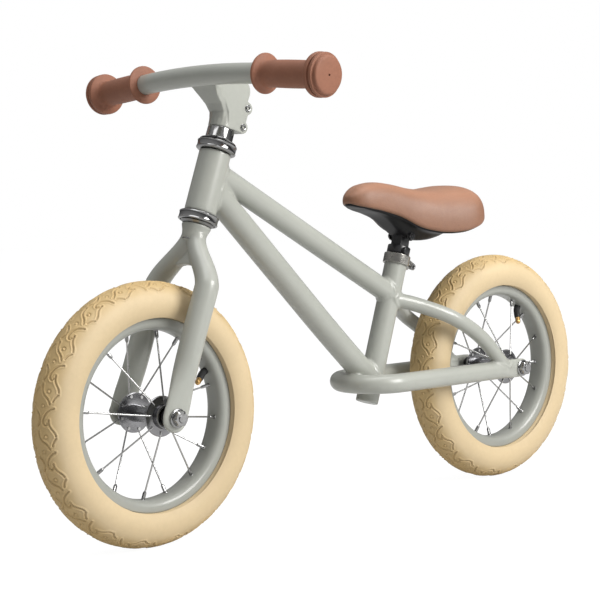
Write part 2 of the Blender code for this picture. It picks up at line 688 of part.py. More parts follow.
def hoop_shape(extra):
    """The chainstay hoop's path from the left end round the front to the right end, with its half sizes."""
    bend = STAY_FRONT - STAY_SPREAD
    slope = STAY_FRONT_RISE / (bend - REAR_HUB.x)
    end_middle = DROPOUT_FACE - DROPOUT_THICKNESS / 2
    thin = DROPOUT_THICKNESS / 2 + extra
    full = STAY_RADIUS + extra

    def leg(behind_bend, y):
        x = bend - behind_bend
        return Vector((x, y, TYRE_RADIUS + (x - REAR_HUB.x) * slope))

    axle = bend - REAR_HUB.x
    tip = axle + STAY_END_OVERHANG + extra
    side = [
        (leg(tip, end_middle), (full * 0.55, thin * 0.7)),
        (leg(tip - 0.0035, end_middle), (full * 0.85, thin)),
        (leg(tip - 0.0090, end_middle), (full, thin)),
        (leg(axle - STAY_RADIUS * 4 / 3, end_middle), (full, thin)),
        (leg(axle - STAY_RADIUS * 3, STAY_SPREAD), (full, full)),
    ]
    front = []
    for i in range(9):
        a = radians(90 - 22.5 * i)
        front.append((leg(-STAY_SPREAD * cos(a), STAY_SPREAD * sin(a)), (full, full)))
    back = [(Vector((p.x, -p.y, p.z)), size) for p, size in side[::-1]]
    stations = side + front + back
    return [p for p, _ in stations], [size for _, size in stations]


def seatstay_path(sign):
    """From the seat tube's back, out round the tyre and down to the chainstay near the axle."""
    root = seat_point(0, 0, -SEAT_STAY_ON_SEAT)
    rear = [Vector((x, sign * y, z)) + REAR_HUB for x, y, z in (SEAT_STAY_CALF, SEAT_STAY_FOOT)]
    front = [Vector((x, sign * y, z)) + root for x, y, z in (SEAT_STAY_SHOULDER, SEAT_STAY_KNEE)]
    return curve_through([root + SIDEWAYS * (sign * SEAT_STAY_RADIUS / 2), *front, *rear], 2)


def make_headset():
    """Cups and ball rings of the frame, above and below the head tube."""
    for name, origin, way in (
        ("lower", steering_point(0, 0, -GAP), -STEER_UP),
        ("upper", steering_point(0, 0, HEAD_LENGTH + GAP), STEER_UP),
    ):
        matrix = axis_frame(origin, way)
        cup = [
            (CUP_HOLE, 0),
            (HEADSET_RADIUS - CUP_CHAMFER, 0),
            (HEADSET_RADIUS, CUP_CHAMFER),
            (HEADSET_RADIUS, CUP_HEIGHT - CUP_CHAMFER / 2),
            (HEADSET_RADIUS - CUP_CHAMFER / 2, CUP_HEIGHT),
            (CUP_BORE, CUP_HEIGHT),
            (CUP_BORE, HEADSET_FLOOR),
            (CUP_HOLE, HEADSET_FLOOR),
        ]
        add_object(f"headset_{name}_cup", turned(cup, matrix, SIDES, True), CHROME)
        low, high, outside = HEADSET_FLOOR + GAP, CUP_HEIGHT - RACE_SETBACK, CUP_BORE - GAP
        ring = [(CUP_HOLE, low), (outside, low), (outside, high), (CUP_HOLE, high)]
        add_object(f"headset_{name}_bearing", turned(ring, matrix, SIDES, True), STEEL_DARK)


def block_on_seat(forward, up, half_width):
    """A block square to the seat tube."""
    corners = [(forward[0], up[0]), (forward[1], up[0]), (forward[1], up[1]), (forward[0], up[1])]
    return plate([seat_point(f, 0, u) for f, u in corners], -half_width, half_width)


def make_seat_collar():
    """The clamp round the seat tube's top: a split ring with two ears and a bolt across them."""
    low, high = COLLAR_LIFT - COLLAR_HEIGHT, COLLAR_LIFT
    post_bore = POST_RADIUS + RUN
    ring = [
        (SEAT_TUBE_RADIUS + GAP, low),
        (COLLAR_RADIUS, low),
        (COLLAR_RADIUS, high),
        (post_bore, high),
        (post_bore, GAP),
        (SEAT_TUBE_RADIUS + GAP, GAP),
    ]
    collar = add_object("seat_collar", turned(ring, axis_frame(SEAT_TOP, SEAT_UP), SIDES, True), STEEL_SATIN)
    rear = -COLLAR_RADIUS - COLLAR_EAR_LENGTH
    ears = block_on_seat((rear, COLLAR_WALL / 2 - COLLAR_RADIUS), (low + GAP, high - GAP), COLLAR_EAR_HALF_WIDTH)
    join(collar, "collar_ears", ears)
    slot = block_on_seat((rear - RUN, RUN - POST_RADIUS), (low - COLLAR_WALL, high + COLLAR_WALL), COLLAR_SLOT / 2)
    cut(collar, "collar_slot", slot)
    bolt_frame = axis_frame(seat_point(-COLLAR_RADIUS - COLLAR_BOLT_BACK, 0, (low + high) / 2), SIDEWAYS, SEAT_UP)
    cut(collar, "collar_bolt_hole", rod(bolt_frame, COLLAR_BOLT_RADIUS + GAP, -COLLAR_RADIUS, COLLAR_RADIUS))
    face = COLLAR_EAR_HALF_WIDTH + GAP
    head = COLLAR_BOLT_RADIUS * BOLT_HEAD_SCALE
    bolt = [
        (0, -face - COLLAR_BOLT_HEAD),
        (head, -face - COLLAR_BOLT_HEAD),
        (head, -face),
        (COLLAR_BOLT_RADIUS, -face),
        (COLLAR_BOLT_RADIUS, face),
        (head, face),
        (head, face + COLLAR_BOLT_HEAD),
        (0, face + COLLAR_BOLT_HEAD),
    ]
    add_object("seat_collar_bolt", turned(bolt, bolt_frame, SMALL_SIDES), STEEL_BRIGHT)


# ---- Fork and steering ----
def blade_shape(sign, extra=0.0):
    """A fork blade's path and half sizes: from the crown, out over the tyre, then straight to the axle."""
    start, straight = CROWN_TOP - CROWN_LENGTH * 0.55, CROWN_TOP - SHOULDER_LENGTH
    stations = []
    for i in range(6):
        t = i / 5
        ease = t * t * (3 - 2 * t)
        spread = BLADE_TOP_SPREAD + (BLADE_SPREAD - BLADE_TOP_SPREAD) * ease
        size = BLADE_TOP_RADIUS + (BLADE_RADIUS - BLADE_TOP_RADIUS) * t
        stations.append((steering_point(0, sign * spread, start + (straight - start) * t), (size, size)))
    tip_middle = DROPOUT_FACE - DROPOUT_THICKNESS / 2
    thin, wide = DROPOUT_THICKNESS / 2, BLADE_TIP_RADIUS
    for height, y, half_wide, half_thick in (
        (0.070, BLADE_SPREAD, BLADE_RADIUS, BLADE_RADIUS),
        (0.034, (BLADE_SPREAD + tip_middle) / 2, wide * 0.93, thin * 1.7),
        (wide, tip_middle, wide, thin),
        (0.000, tip_middle, wide, thin),
        (-wide * 0.54, tip_middle, wide * 0.84, thin),
        (-wide * 0.88, tip_middle, wide * 0.48, thin * 0.8),
        (-wide, tip_middle, wide * 0.14, thin * 0.5),
    ):
        stations.append((steering_point(FORK_RAKE, sign * y, height - FORK_LENGTH), (half_thick, half_wide)))
    return [p for p, _ in stations], [(a + extra, b + extra) for _, (a, b) in stations]


def make_crown(body):
    """The crown and its race, with the steerer standing in the crown's bore."""
    matrix = axis_frame(HEAD_LOW, STEER_UP)
    race = [
        (STEERER_BORE, CROWN_TOP + GAP),
        (CROWN_TOP_RADIUS, CROWN_TOP + GAP),
        (CUP_BORE - CROWN_WALL, CROWN_TOP + RACE_HEIGHT),
        (STEERER_BORE, CROWN_TOP + RACE_HEIGHT),
    ]
    add_object("crown_race", turned(race, matrix, SIDES, True), STEEL_DARK, body)
    low = CROWN_TOP - CROWN_LENGTH
    floor = low + CROWN_FLOOR
    lip = CROWN_TOP - CROWN_FLOOR
    crown = [
        (0, low),
        (CROWN_NECK_RADIUS, low),
        (CROWN_NECK_RADIUS, CROWN_TOP - CROWN_FLARE_HEIGHT),
        (CROWN_TOP_RADIUS - EDGE, lip),
        (CROWN_TOP_RADIUS, CROWN_TOP),
        (STEERER_BORE, CROWN_TOP),
        (STEERER_BORE, floor),
        (0, floor),
    ]
    add_object("fork_crown", turned(crown, matrix, SIDES), PAINT_SAGE, body)
    ends = [steering_point(0, 0, floor + GAP), steering_point(0, 0, STEM_BOTTOM + STEM_GRASP)]
    add_object("fork_steerer", round_tube(ends, STEERER_RADIUS, SIDES, STEERER_WALL), STEEL_BRIGHT, body)
    around = [
        (0, low - GAP),
        (CROWN_NECK_RADIUS + GAP, low - GAP),
        (CROWN_NECK_RADIUS + GAP, CROWN_TOP - CROWN_FLARE_HEIGHT),
        (CROWN_TOP_RADIUS * 1.5, lip),
        (0, CROWN_TOP),
    ]
    return helper("around_crown", turned(around, matrix, SIDES))


def make_fork(body):
    around_crown = make_crown(body)
    hole = helper("front_axle_hole", rod(wheel_frame(FRONT_HUB), AXLE_BORE, -AXLE_END, AXLE_END))
    for name, sign in both_sides():
        half_fork = one_side(swept(*blade_shape(sign), SIDEWAYS, BAR_SIDES), sign)
        blade = add_object("fork_blade_" + name, half_fork, PAINT_SAGE, body)
        combine(blade, around_crown, "DIFFERENCE")
        combine(blade, hole, "DIFFERENCE")
    half = BRIDGE_THICKNESS / 2
    low, high = -BRIDGE_DROP - BRIDGE_HEIGHT, -BRIDGE_DROP
    outline = [steering_point(f, 0, u) for f, u in ((-half, low), (half, low), (half, high), (-half, high))]
    reach = BLADE_SPREAD * BRIDGE_REACH
    bridge = add_object("fork_bridge", plate(outline, -reach, reach), PAINT_SAGE, body)
    for name, sign in both_sides():
        cut(bridge, "around_blade_" + name, swept(*blade_shape(sign, GAP), SIDEWAYS, BAR_SIDES))


def make_neck(body):
    """The chrome cone and collar that close the headset's top and carry the stem."""
    matrix = axis_frame(HEAD_LOW, STEER_UP)
    base = UPPER_CUP_TOP + RUN
    top = NECK_BOTTOM - GAP
    cone = [
        (STEERER_BORE, base),
        (HEADSET_RADIUS - CUP_CHAMFER, base),
        (HEADSET_RADIUS - CUP_CHAMFER / 2, base + RUN),
        (HEADSET_RADIUS - CUP_CHAMFER, top),
        (STEERER_BORE, top),
    ]
    add_object("headset_upper_cone", turned(cone, matrix, SIDES, True), CHROME, body)
    ends = [steering_point(0, 0, NECK_BOTTOM), steering_point(0, 0, NECK_BOTTOM + NECK_HEIGHT)]
    add_object("headset_neck", round_tube(ends, NECK_RADIUS, SIDES, NECK_RADIUS - STEERER_BORE), CHROME, body)


def bar_path(steps):
    """The handlebar's centre line: straight under the grips, a shallow bow between them."""
    bend_end = GRIP_END - GRIP_LENGTH
    bow = bend_end**2 + 2 * bend_end * (GRIP_END - bend_end)
    ys = [-BAR_HALF_WIDTH, *(bend_end * (2 * i / steps - 1) for i in range(steps + 1)), BAR_HALF_WIDTH]
    path = []
    for y in ys:
        inside = min(abs(y), bend_end)
        drop = (inside**2 + 2 * inside * (abs(y) - inside)) / bow
        path.append(steering_point(BAR_REACH + BAR_SWEEP * (1 - drop), y, BAR_HEIGHT + BAR_RISE * (1 - drop)))
    return path


def make_stem(body):
    """A wedge that widens from the neck up to the bar, with two split ears behind that pinch the steerer."""
    front = BAR_REACH + BAR_SWEEP
    top_z = steering_point(front, 0, BAR_HEIGHT + BAR_RISE).z - BAR_RADIUS * STEM_BITE

    def top_height(forward):
        return (top_z - HEAD_LOW.z - forward * STEER_FORWARD.z) / STEER_UP.z

    rear, middle = -STEM_SIDE, STEM_SIDE / 4
    rings = []
    for up, reach, half in (
        (STEM_BOTTOM, STEM_SIDE, STEM_FRONT),
        (STEM_BOTTOM + STEM_FOOT, STEM_SIDE, STEM_FRONT),
        (None, front, STEM_TOP_HALF_WIDTH),
    ):
        around = [(rear, -STEM_SIDE), (middle, -STEM_SIDE), (reach, -half)]
        around += [(f, -y) for f, y in around[::-1]]
        rings.append([steering_point(f, y, top_height(f) if up is None else up) for f, y in around])
    stem = add_object("stem", loft(rings, False), PAINT_SAGE, body)

    shoulder = -STEM_SIDE / 3
    edge = [(0, STEM_BOTTOM + EDGE), (0, top_height(0) - EDGE), (shoulder, top_height(shoulder) - EDGE)]
    low_bolt, high_bolt = (STEM_BOTTOM + height for height in STEM_BOLT_HEIGHTS)
    for bolt_height, first, last in ((high_bolt, 75, 250), (low_bolt, 110, 285)):
        for i in range(7):
            a = radians(first + (last - first) * i / 6)
            edge.append((-STEM_LOBE_BACK + STEM_LOBE_RADIUS * cos(a), bolt_height + STEM_LOBE_RADIUS * sin(a)))
    outline = [steering_point(f, 0, u) for f, u in edge]
    join(stem, "stem_ears", plate(outline, GAP - STEM_SIDE, STEM_SIDE - GAP))
    slot = [(-0.04, 0.0), (-0.004, 0.0), (-0.004, 0.2), (-0.04, 0.2)]
    cut(stem, "stem_slot", plate([steering_point(f, 0, u) for f, u in slot], -STEM_SLOT / 2, STEM_SLOT / 2))
    bore = rod(axis_frame(HEAD_LOW, STEER_UP), STEERER_BORE, HEAD_LENGTH, STEM_BOTTOM + STEM_GRASP + GAP, SIDES)
    cut(stem, "stem_bore", bore)
    cut(stem, "around_bar", round_tube(bar_path(8), BAR_RADIUS + GAP, BAR_SIDES, across=STEER_UP))
    face, head = STEM_SIDE + GAP, STEM_BOLT_RADIUS * BOLT_HEAD_SCALE
    for name, height in (("lower", low_bolt), ("upper", high_bolt)):
        bolt_frame = axis_frame(steering_point(-STEM_LOBE_BACK, 0, height), SIDEWAYS, STEER_UP)
        cut(stem, name + "_bolt_hole", rod(bolt_frame, STEM_BOLT_RADIUS + GAP, -STEM_SIDE * 2, STEM_SIDE * 2))
        bolt = [
            (0, -face - STEM_BOLT_RADIUS),
            (head, -face - STEM_BOLT_RADIUS),
            (head, -face),
            (STEM_BOLT_RADIUS, -face),
            (STEM_BOLT_RADIUS, face),
            (head, face),
            (head, face + STEM_BOLT_RADIUS),
            (head * 0.55, face + STEM_BOLT_RADIUS),
            (head * 0.55, face + EDGE),
            (0, face + EDGE),
        ]
        add_object(f"stem_bolt_{name}", turned(bolt, bolt_frame, SMALL_SIDES), STEEL_BRIGHT, body)


def make_bar(body):
    path = bar_path(8)
    bar = round_tube(path, BAR_RADIUS, BAR_SIDES, BAR_WALL, STEER_UP)
    add_object("handlebar", bar, PAINT_SAGE, body)
    inner, outer = GRIP_RADIUS + GRIP_INNER_LIP, GRIP_RADIUS + GRIP_OUTER_LIP
    for name, end, before in (("left", path[-1], path[-2]), ("right", path[0], path[1])):
        along = (end - before).normalized()
        tip = GRIP_CAP / abs(along.y)
        start = tip - GRIP_LENGTH
        profile = [
            (GRIP_BORE, start),
            (inner, start),
            (inner, start + 0.0040),
            (GRIP_RADIUS, start + 0.0090),
            (GRIP_RADIUS, tip - 0.0180),
            (outer, tip - 0.0120),
            (outer, tip - 0.0050),
            (outer - GRIP_STEP, tip - 0.0026),
            (outer - GRIP_STEP, tip),
            (GRIP_VENT_RADIUS, tip),
            (GRIP_VENT_RADIUS, GAP),
            (GRIP_BORE, GAP),
        ]
        grip = turned(profile, axis_frame(end, along, STEER_UP), SIDES, True)
        add_object("grip_" + name, grip, RUBBER_BROWN, body)


# ---- Seat ----
def make_seatpost(body):
    """The post, the sleeve clamped on its reduced end, and the bolt that the saddle tilts on."""
    matrix = axis_frame(SEAT_TOP, SEAT_UP)
    post_top = CLAMP_TOP - CLAMP_CAP - GAP
    post = [
        (0, -POST_INSERTION),
        (POST_RADIUS, -POST_INSERTION),
        (POST_RADIUS, POST_SHOULDER),
        (POST_TIP_RADIUS, POST_SHOULDER),
        (POST_TIP_RADIUS, post_top),
        (0, post_top),
    ]
    add_object("seatpost", turned(post, matrix, SIDES), STEEL_BLACK, body)
    bore = POST_TIP_RADIUS + GAP
    outside = bore + CLAMP_WALL
    sleeve = [
        (0, CLAMP_TOP),
        (outside - EDGE, CLAMP_TOP),
        (outside, CLAMP_TOP - EDGE),
        (outside, POST_SHOULDER + GAP),
        (bore, POST_SHOULDER + GAP),
        (bore, CLAMP_TOP - CLAMP_CAP),
        (0, CLAMP_TOP - CLAMP_CAP),
    ]
    clamp = add_object("saddle_clamp", turned(sleeve, matrix, SIDES), STEEL_BLACK, body)
    foot = CLAMP_TOP - CLAMP_CAP / 2
    outline = [seat_point(CLAMP_EAR_RADIUS, 0, foot), *arc(PIVOT, CLAMP_EAR_RADIUS, 5, 150, 6)]
    outline.append(seat_point(-CLAMP_EAR_RADIUS, 0, foot))
    join(clamp, "clamp_ear", plate(outline, -CLAMP_EAR_HALF_WIDTH, CLAMP_EAR_HALF_WIDTH))
    cut(clamp, "clamp_bolt_hole", pivot_hole())
    face = CHEEK_OUT + GAP
    bolt = [
        (0, -CLAMP_NUT_FACE),
        (CLAMP_NUT_RADIUS, -CLAMP_NUT_FACE),
        (CLAMP_NUT_RADIUS, -face),
        (CLAMP_BOLT_RADIUS, -face),
        (CLAMP_BOLT_RADIUS, face),
        (CLAMP_NUT_RADIUS, face),
        (CLAMP_NUT_RADIUS, CLAMP_NUT_FACE),
        (0, CLAMP_NUT_FACE),
    ]
    add_object("saddle_clamp_bolt", turned(bolt, wheel_frame(PIVOT), SMALL_SIDES), STEEL_BRIGHT, body)


def pivot_hole():
    return rod(wheel_frame(PIVOT), CLAMP_BOLT_RADIUS + GAP, -CLAMP_NUT_FACE, CLAMP_NUT_FACE)


def saddle_section(x, half, top, bottom):
    """Half an oval above a flat underside."""
    height = top - bottom - SADDLE_ROLL
    points = []
    for i in range(11):
        a = pi * i / 10
        y = half * (1 if cos(a) >= 0 else -1) * abs(cos(a)) ** 0.70
        z = bottom + SADDLE_ROLL + height * abs(sin(a)) ** 0.75
        points.append(PIVOT + Vector((x, y, z)))
    foot = half - SADDLE_LIP
    return points + [PIVOT + Vector((x, -foot, bottom)), PIVOT + Vector((x, foot, bottom))]


def make_saddle(body):
    """The padded cover, and the base under it with the two cheeks that hang on the clamp's bolt."""
    cover = loft([saddle_section(*station) for station in SADDLE_STATIONS], False)
    add_object("saddle_cover", cover, LEATHER_BROWN, body)
    rings = []
    for x, half, _, bottom in SADDLE_STATIONS[1:-1]:
        lip, top = half - SADDLE_LIP, bottom - GAP
        low = top - SADDLE_BASE_THICKNESS
        corners = ((lip, top), (-lip, top), (-lip * 0.9, low), (lip * 0.9, low))
        rings.append([PIVOT + Vector((x, y, z)) for y, z in corners])
    base = add_object("saddle_base", loft(rings, False), PLASTIC_BLACK, body)
    outline = [PIVOT + Vector((x, 0, z)) for x, z in KEEL_OUTLINE]
    for name, low, high in (("left", CHEEK_IN, CHEEK_OUT), ("right", -CHEEK_OUT, -CHEEK_IN)):
        join(base, "saddle_keel_" + name, plate(outline, low, high))
    cut(base, "saddle_bolt_hole", pivot_hole())


def build():
    for obj in list(bpy.data.objects):
        bpy.data.objects.remove(obj, do_unlink=True)
    make_frame()
    make_headset()
    make_seat_collar()
    make_axle("rear", REAR_HUB)

    steering = joint_empty("steering_axis", HEAD_LOW)
    make_fork(steering)
    make_neck(steering)
    make_stem(steering)
    make_bar(steering)
    make_axle("front", FRONT_HUB, steering)

    front_axis = joint_empty("front_wheel_axis", FRONT_HUB, steering)
    make_wheel("front", FRONT_HUB, FRONT_VALVE_ANGLE, FRONT_SPOKE_ANGLE, front_axis)
    rear_axis = joint_empty("rear_wheel_axis", REAR_HUB)
    make_wheel("rear", REAR_HUB, REAR_VALVE_ANGLE, REAR_SPOKE_ANGLE, rear_axis)

    post_axis = joint_empty("seatpost_axis", SEAT_TOP)
    make_seatpost(post_axis)
    make_saddle(joint_empty("saddle_pivot", PIVOT, post_axis))


build()
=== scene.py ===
"""Balance bike, 12 inch: its finished look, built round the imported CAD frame.

Metres, +Z up, +X forward, +Y the rider's left. Places come from the frame's joints, boxes and record. Every
piece rides on the CAD body that it moves with.
"""

import json
from math import cos, pi, radians, sin

import bmesh
import bpy
import numpy as np
from bpy.props import FloatProperty, FloatVectorProperty, IntProperty, PointerProperty
from bpy.types import Operator, Panel, PropertyGroup
from mathutils import Matrix, Vector
from mathutils.bvhtree import BVHTree


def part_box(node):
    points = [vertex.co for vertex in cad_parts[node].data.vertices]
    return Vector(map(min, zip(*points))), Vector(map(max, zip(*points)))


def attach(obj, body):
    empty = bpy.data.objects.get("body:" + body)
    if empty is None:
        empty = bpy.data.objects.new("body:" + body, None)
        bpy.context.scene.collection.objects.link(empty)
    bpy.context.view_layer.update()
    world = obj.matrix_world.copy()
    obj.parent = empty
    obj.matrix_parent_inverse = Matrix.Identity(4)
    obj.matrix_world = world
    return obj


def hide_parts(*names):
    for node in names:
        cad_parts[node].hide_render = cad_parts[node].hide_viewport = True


bl_info = {
    "name": "Balance bike",
    "version": (1, 0, 0),
    "blender": (4, 5, 0),
    "location": "View3D > Sidebar > Balance bike",
    "description": "Builds a child's balance bike round its packed CAD frame",
    "category": "Add Mesh",
}

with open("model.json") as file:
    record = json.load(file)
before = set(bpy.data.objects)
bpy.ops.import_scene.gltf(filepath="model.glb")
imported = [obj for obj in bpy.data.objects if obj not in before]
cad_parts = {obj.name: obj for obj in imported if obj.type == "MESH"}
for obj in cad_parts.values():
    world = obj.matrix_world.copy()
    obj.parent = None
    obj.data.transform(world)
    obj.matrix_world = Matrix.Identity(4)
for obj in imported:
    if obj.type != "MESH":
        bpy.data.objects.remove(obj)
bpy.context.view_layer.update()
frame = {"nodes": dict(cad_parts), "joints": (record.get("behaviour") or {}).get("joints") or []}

# ---- Places, from the frame ----
JOINTS = {joint["name"]: joint for joint in frame["joints"]}
FORWARD = Vector((1, 0, 0))
SIDEWAYS = Vector((0, 1, 0))
UPWARD = Vector((0, 0, 1))
HEAD_LOW = Vector(JOINTS["steer"]["pos_m"])
STEER_UP = Vector(JOINTS["steer"]["axis"]).normalized()
STEER_FORWARD = SIDEWAYS.cross(STEER_UP)
SEAT_UP = Vector(JOINTS["seat_height"]["axis"]).normalized()
SEAT_FORWARD = SIDEWAYS.cross(SEAT_UP)
PIVOT = Vector(JOINTS["saddle_tilt"]["pos_m"])
HUBS = {side: Vector(JOINTS[side + "_wheel_spin"]["pos_m"]) for side in ("front", "rear")}
SIDES = (("left", 1), ("right", -1))


def reach(node, axis):
    """How far a CAD node reaches from the middle plane or the floor along an axis."""
    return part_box(node)[1][axis]


AXLE_HEIGHT = HUBS["front"].z
TYRE_RADIUS = (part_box("front_tyre")[1].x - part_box("front_tyre")[0].x) / 2
TYRE_SECTION = reach("front_tyre", 1)
RIM_HALF = reach("front_rim", 1)
RIM_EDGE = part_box("front_rim")[1].x - HUBS["front"].x
RIM_FLOOR = RIM_EDGE - 0.0135  # the radius where the spokes enter
AXLE_END = reach("front_axle", 1)
LUG_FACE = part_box("front_axle_nut_left")[0].y - 0.0003
CUP_END = reach("front_hub_barrel", 1)
SEAT_DROP = 0.0303  # the saddle's bolt above the seat tube's top
SEAT_TOP = PIVOT - SEAT_UP * SEAT_DROP
SEAT_TUBE_LENGTH = (SEAT_TOP.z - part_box("seat_tube")[0].z) / SEAT_UP.z - 0.0049


def steering_point(forward, left, up):
    """Measured from the head tube's lower end: ahead of the axis, to the left, and up along it."""
    return HEAD_LOW + STEER_FORWARD * forward + SIDEWAYS * left + STEER_UP * up


def seat_point(forward, left, up):
    """Measured from the seat tube's upper end, up along the seat tube."""
    return SEAT_TOP + SEAT_FORWARD * forward + SIDEWAYS * left + SEAT_UP * up


def pivot_point(forward, left, up):
    """Measured from the saddle's bolt, along the world's axes."""
    return PIVOT + Vector((forward, left, up))


def axis_frame(origin, along, across=SIDEWAYS):
    """A matrix whose Z runs along the axis, with its X nearest to across."""
    z = Vector(along).normalized()
    x = (Vector(across) - z * Vector(across).dot(z)).normalized()
    matrix = Matrix((x, z.cross(x), z)).transposed().to_4x4()
    matrix.translation = origin
    return matrix


STEERING = axis_frame(HEAD_LOW, STEER_UP)
SEAT = axis_frame(SEAT_TOP, SEAT_UP)


# ---- Sizes and colours that a user would change ----
def length(name, description, default):
    return FloatProperty(name=name, description=description, default=default, min=0, max=1, unit="LENGTH")


def tint(name, description, default):
    return FloatVectorProperty(
        name=name, description=description, default=default, min=0, max=1, subtype="COLOR", size=3
    )


class BIKE_PG_sizes(PropertyGroup):
    tyre_radius: length("Tyre radius", "From the axle to the tread", TYRE_RADIUS)
    tread_depth: length("Tread depth", "How deep the tread's grooves are", 0.0013)
    tread_pitches: IntProperty(name="Tread pitches", description="Repeats of the tread", default=19, min=8)
    spoke_gauge: length("Spoke gauge", "Diameter of a spoke", 0.0020)
    spokes: IntProperty(name="Spokes per flange", description="Spokes on each hub flange", default=8, min=4)
    head_radius: length("Head tube radius", "Outside radius of the head tube", 0.0185)
    top_tube_radius: length("Top tube radius", "Outside radius of the top tube", 0.0135)
    down_tube_radius: length("Down tube radius", "Outside radius of the down tube", 0.0155)
    seat_tube_radius: length("Seat tube radius", "Outside radius of the seat tube", 0.0143)
    stay_radius: length("Chainstay radius", "Outside radius of the bent lower tube", 0.0120)
    seatstay_radius: length("Seatstay radius", "Outside radius of the upper stays", 0.0095)
    blade_radius: length("Fork blade radius", "Outside radius of a fork blade", 0.0138)
    bar_radius: length("Handlebar radius", "Outside radius of the handlebar", 0.0118)
    grip_radius: length("Grip radius", "Radius of the part that the hand holds", 0.0148)
    weld_size: length("Weld size", "Radius of the weld beads", 0.0024)
    focal_length: FloatProperty(name="Focal length", description="Of the camera, in mm", default=102.0)


class BIKE_PG_colours(PropertyGroup):
    paint: tint("Paint", "The frame's and the fork's paint", (0.375, 0.385, 0.348))
    rim: tint("Rim paint", "The rims' paint", (0.325, 0.333, 0.303))
    tyre: tint("Tyre", "The tyres' side walls", (0.600, 0.470, 0.285))
    tread: tint("Tread", "The tyres' tread", (0.500, 0.350, 0.152))
    leather: tint("Saddle cover", "The saddle's leather-look cover", (0.270, 0.129, 0.074))
    grip: tint("Grips", "The grips' rubber", (0.280, 0.120, 0.073))
    black: tint("Black", "The black steel and plastic", (0.011, 0.011, 0.012))
    brass: tint("Valve caps", "The valve caps' brass", (0.720, 0.450, 0.180))


# ---- Shader node groups ----
def node(tree, kind, inputs=None, **settings):
    """Adds a node. Inputs are given by name or number, as a value or as the socket to link."""
    made = tree.nodes.new(kind)
    for key, value in settings.items():
        setattr(made, key, value)
    for key, value in (inputs or {}).items():
        if isinstance(value, bpy.types.NodeSocket):
            tree.links.new(value, made.inputs[key])
        else:
            made.inputs[key].default_value = value
    return made


def new_group(name, inputs, outputs):
    """An empty node group with its sockets, given as (name, kind, default)."""
    tree = bpy.data.node_groups.new(name, "ShaderNodeTree")
    for label, kind, default in inputs:
        socket = tree.interface.new_socket(label, in_out="INPUT", socket_type="NodeSocket" + kind)
        socket.default_value = default
    for label, kind in outputs:
        tree.interface.new_socket(label, in_out="OUTPUT", socket_type="NodeSocket" + kind)
    start = tree.nodes.new("NodeGroupInput")
    end = tree.nodes.new("NodeGroupOutput")
    place = node(tree, "ShaderNodeTexCoord").outputs["Object"]
    return tree, start.outputs, end.inputs, place


def ramp(tree, value, low, high):
    """A smooth mask that is 0 below low and 1 above high."""
    inputs = {"Value": value, "From Min": low, "From Max": high}
    return node(tree, "ShaderNodeMapRange", inputs, interpolation_type="SMOOTHSTEP").outputs["Result"]


def mix(tree, mask, one, other):
    """One colour where the mask is 0, the other where it is 1."""
    return node(tree, "ShaderNodeMix", {0: mask, 6: one, 7: other}, data_type="RGBA").outputs[2]


def math(tree, operation, *values):
    return node(tree, "ShaderNodeMath", dict(enumerate(values)), operation=operation).outputs[0]


def vector(tree, operation, *values):
    return node(tree, "ShaderNodeVectorMath", dict(enumerate(values)), operation=operation).outputs[0]


def mottle_group():
    """Slow drifts of colour and gloss over a surface."""
    tree, given, out, place = new_group(
        "mottle",
        (
            ("Colour", "Color", (0.5, 0.5, 0.5, 1)),
            ("Second Colour", "Color", (0.4, 0.4, 0.4, 1)),
            ("Scale", "Float", 40.0),
            ("Amount", "Float", 0.5),
            ("Roughness", "Float", 0.4),
            ("Roughness Drift", "Float", 0.1),
        ),
        (("Colour", "Color"), ("Roughness", "Float")),
    )
    coarse = node(tree, "ShaderNodeTexNoise", {"Vector": place, "Scale": given["Scale"], "Detail": 5.0})
    fine_scale = math(tree, "MULTIPLY", given["Scale"], 9.0)
    fine = node(tree, "ShaderNodeTexNoise", {"Vector": place, "Scale": fine_scale, "Detail": 3.0})
    broad = math(tree, "MULTIPLY", coarse.outputs[0], 0.65)
    blend = math(tree, "MULTIPLY_ADD", fine.outputs[0], 0.35, broad)
    mask = math(tree, "MULTIPLY", ramp(tree, blend, 0.38, 0.62), given["Amount"])
    tree.links.new(mix(tree, mask, given["Colour"], given["Second Colour"]), out["Colour"])
    drift = math(tree, "MULTIPLY", math(tree, "SUBTRACT", blend, 0.5), given["Roughness Drift"])
    tree.links.new(math(tree, "MULTIPLY_ADD", drift, 2.0, given["Roughness"]), out["Roughness"])
    return tree


def grain_group():
    """Fine relief: a rounded noise grain with pores."""
    tree, given, out, place = new_group(
        "grain",
        (("Scale", "Float", 1500.0), ("Pores", "Float", 0.3), ("Stretch", "Vector", (1, 1, 1))),
        (("Height", "Float"),),
    )
    moved = vector(tree, "MULTIPLY", place, given["Stretch"])
    noise = node(tree, "ShaderNodeTexNoise", {"Vector": moved, "Scale": given["Scale"], "Detail": 4.0})
    cells = node(tree, "ShaderNodeTexVoronoi", {"Vector": moved, "Scale": given["Scale"]})
    pores = math(tree, "MULTIPLY", ramp(tree, cells.outputs["Distance"], 0.0, 0.45), given["Pores"])
    tree.links.new(math(tree, "ADD", noise.outputs[0], pores), out["Height"])
    return tree


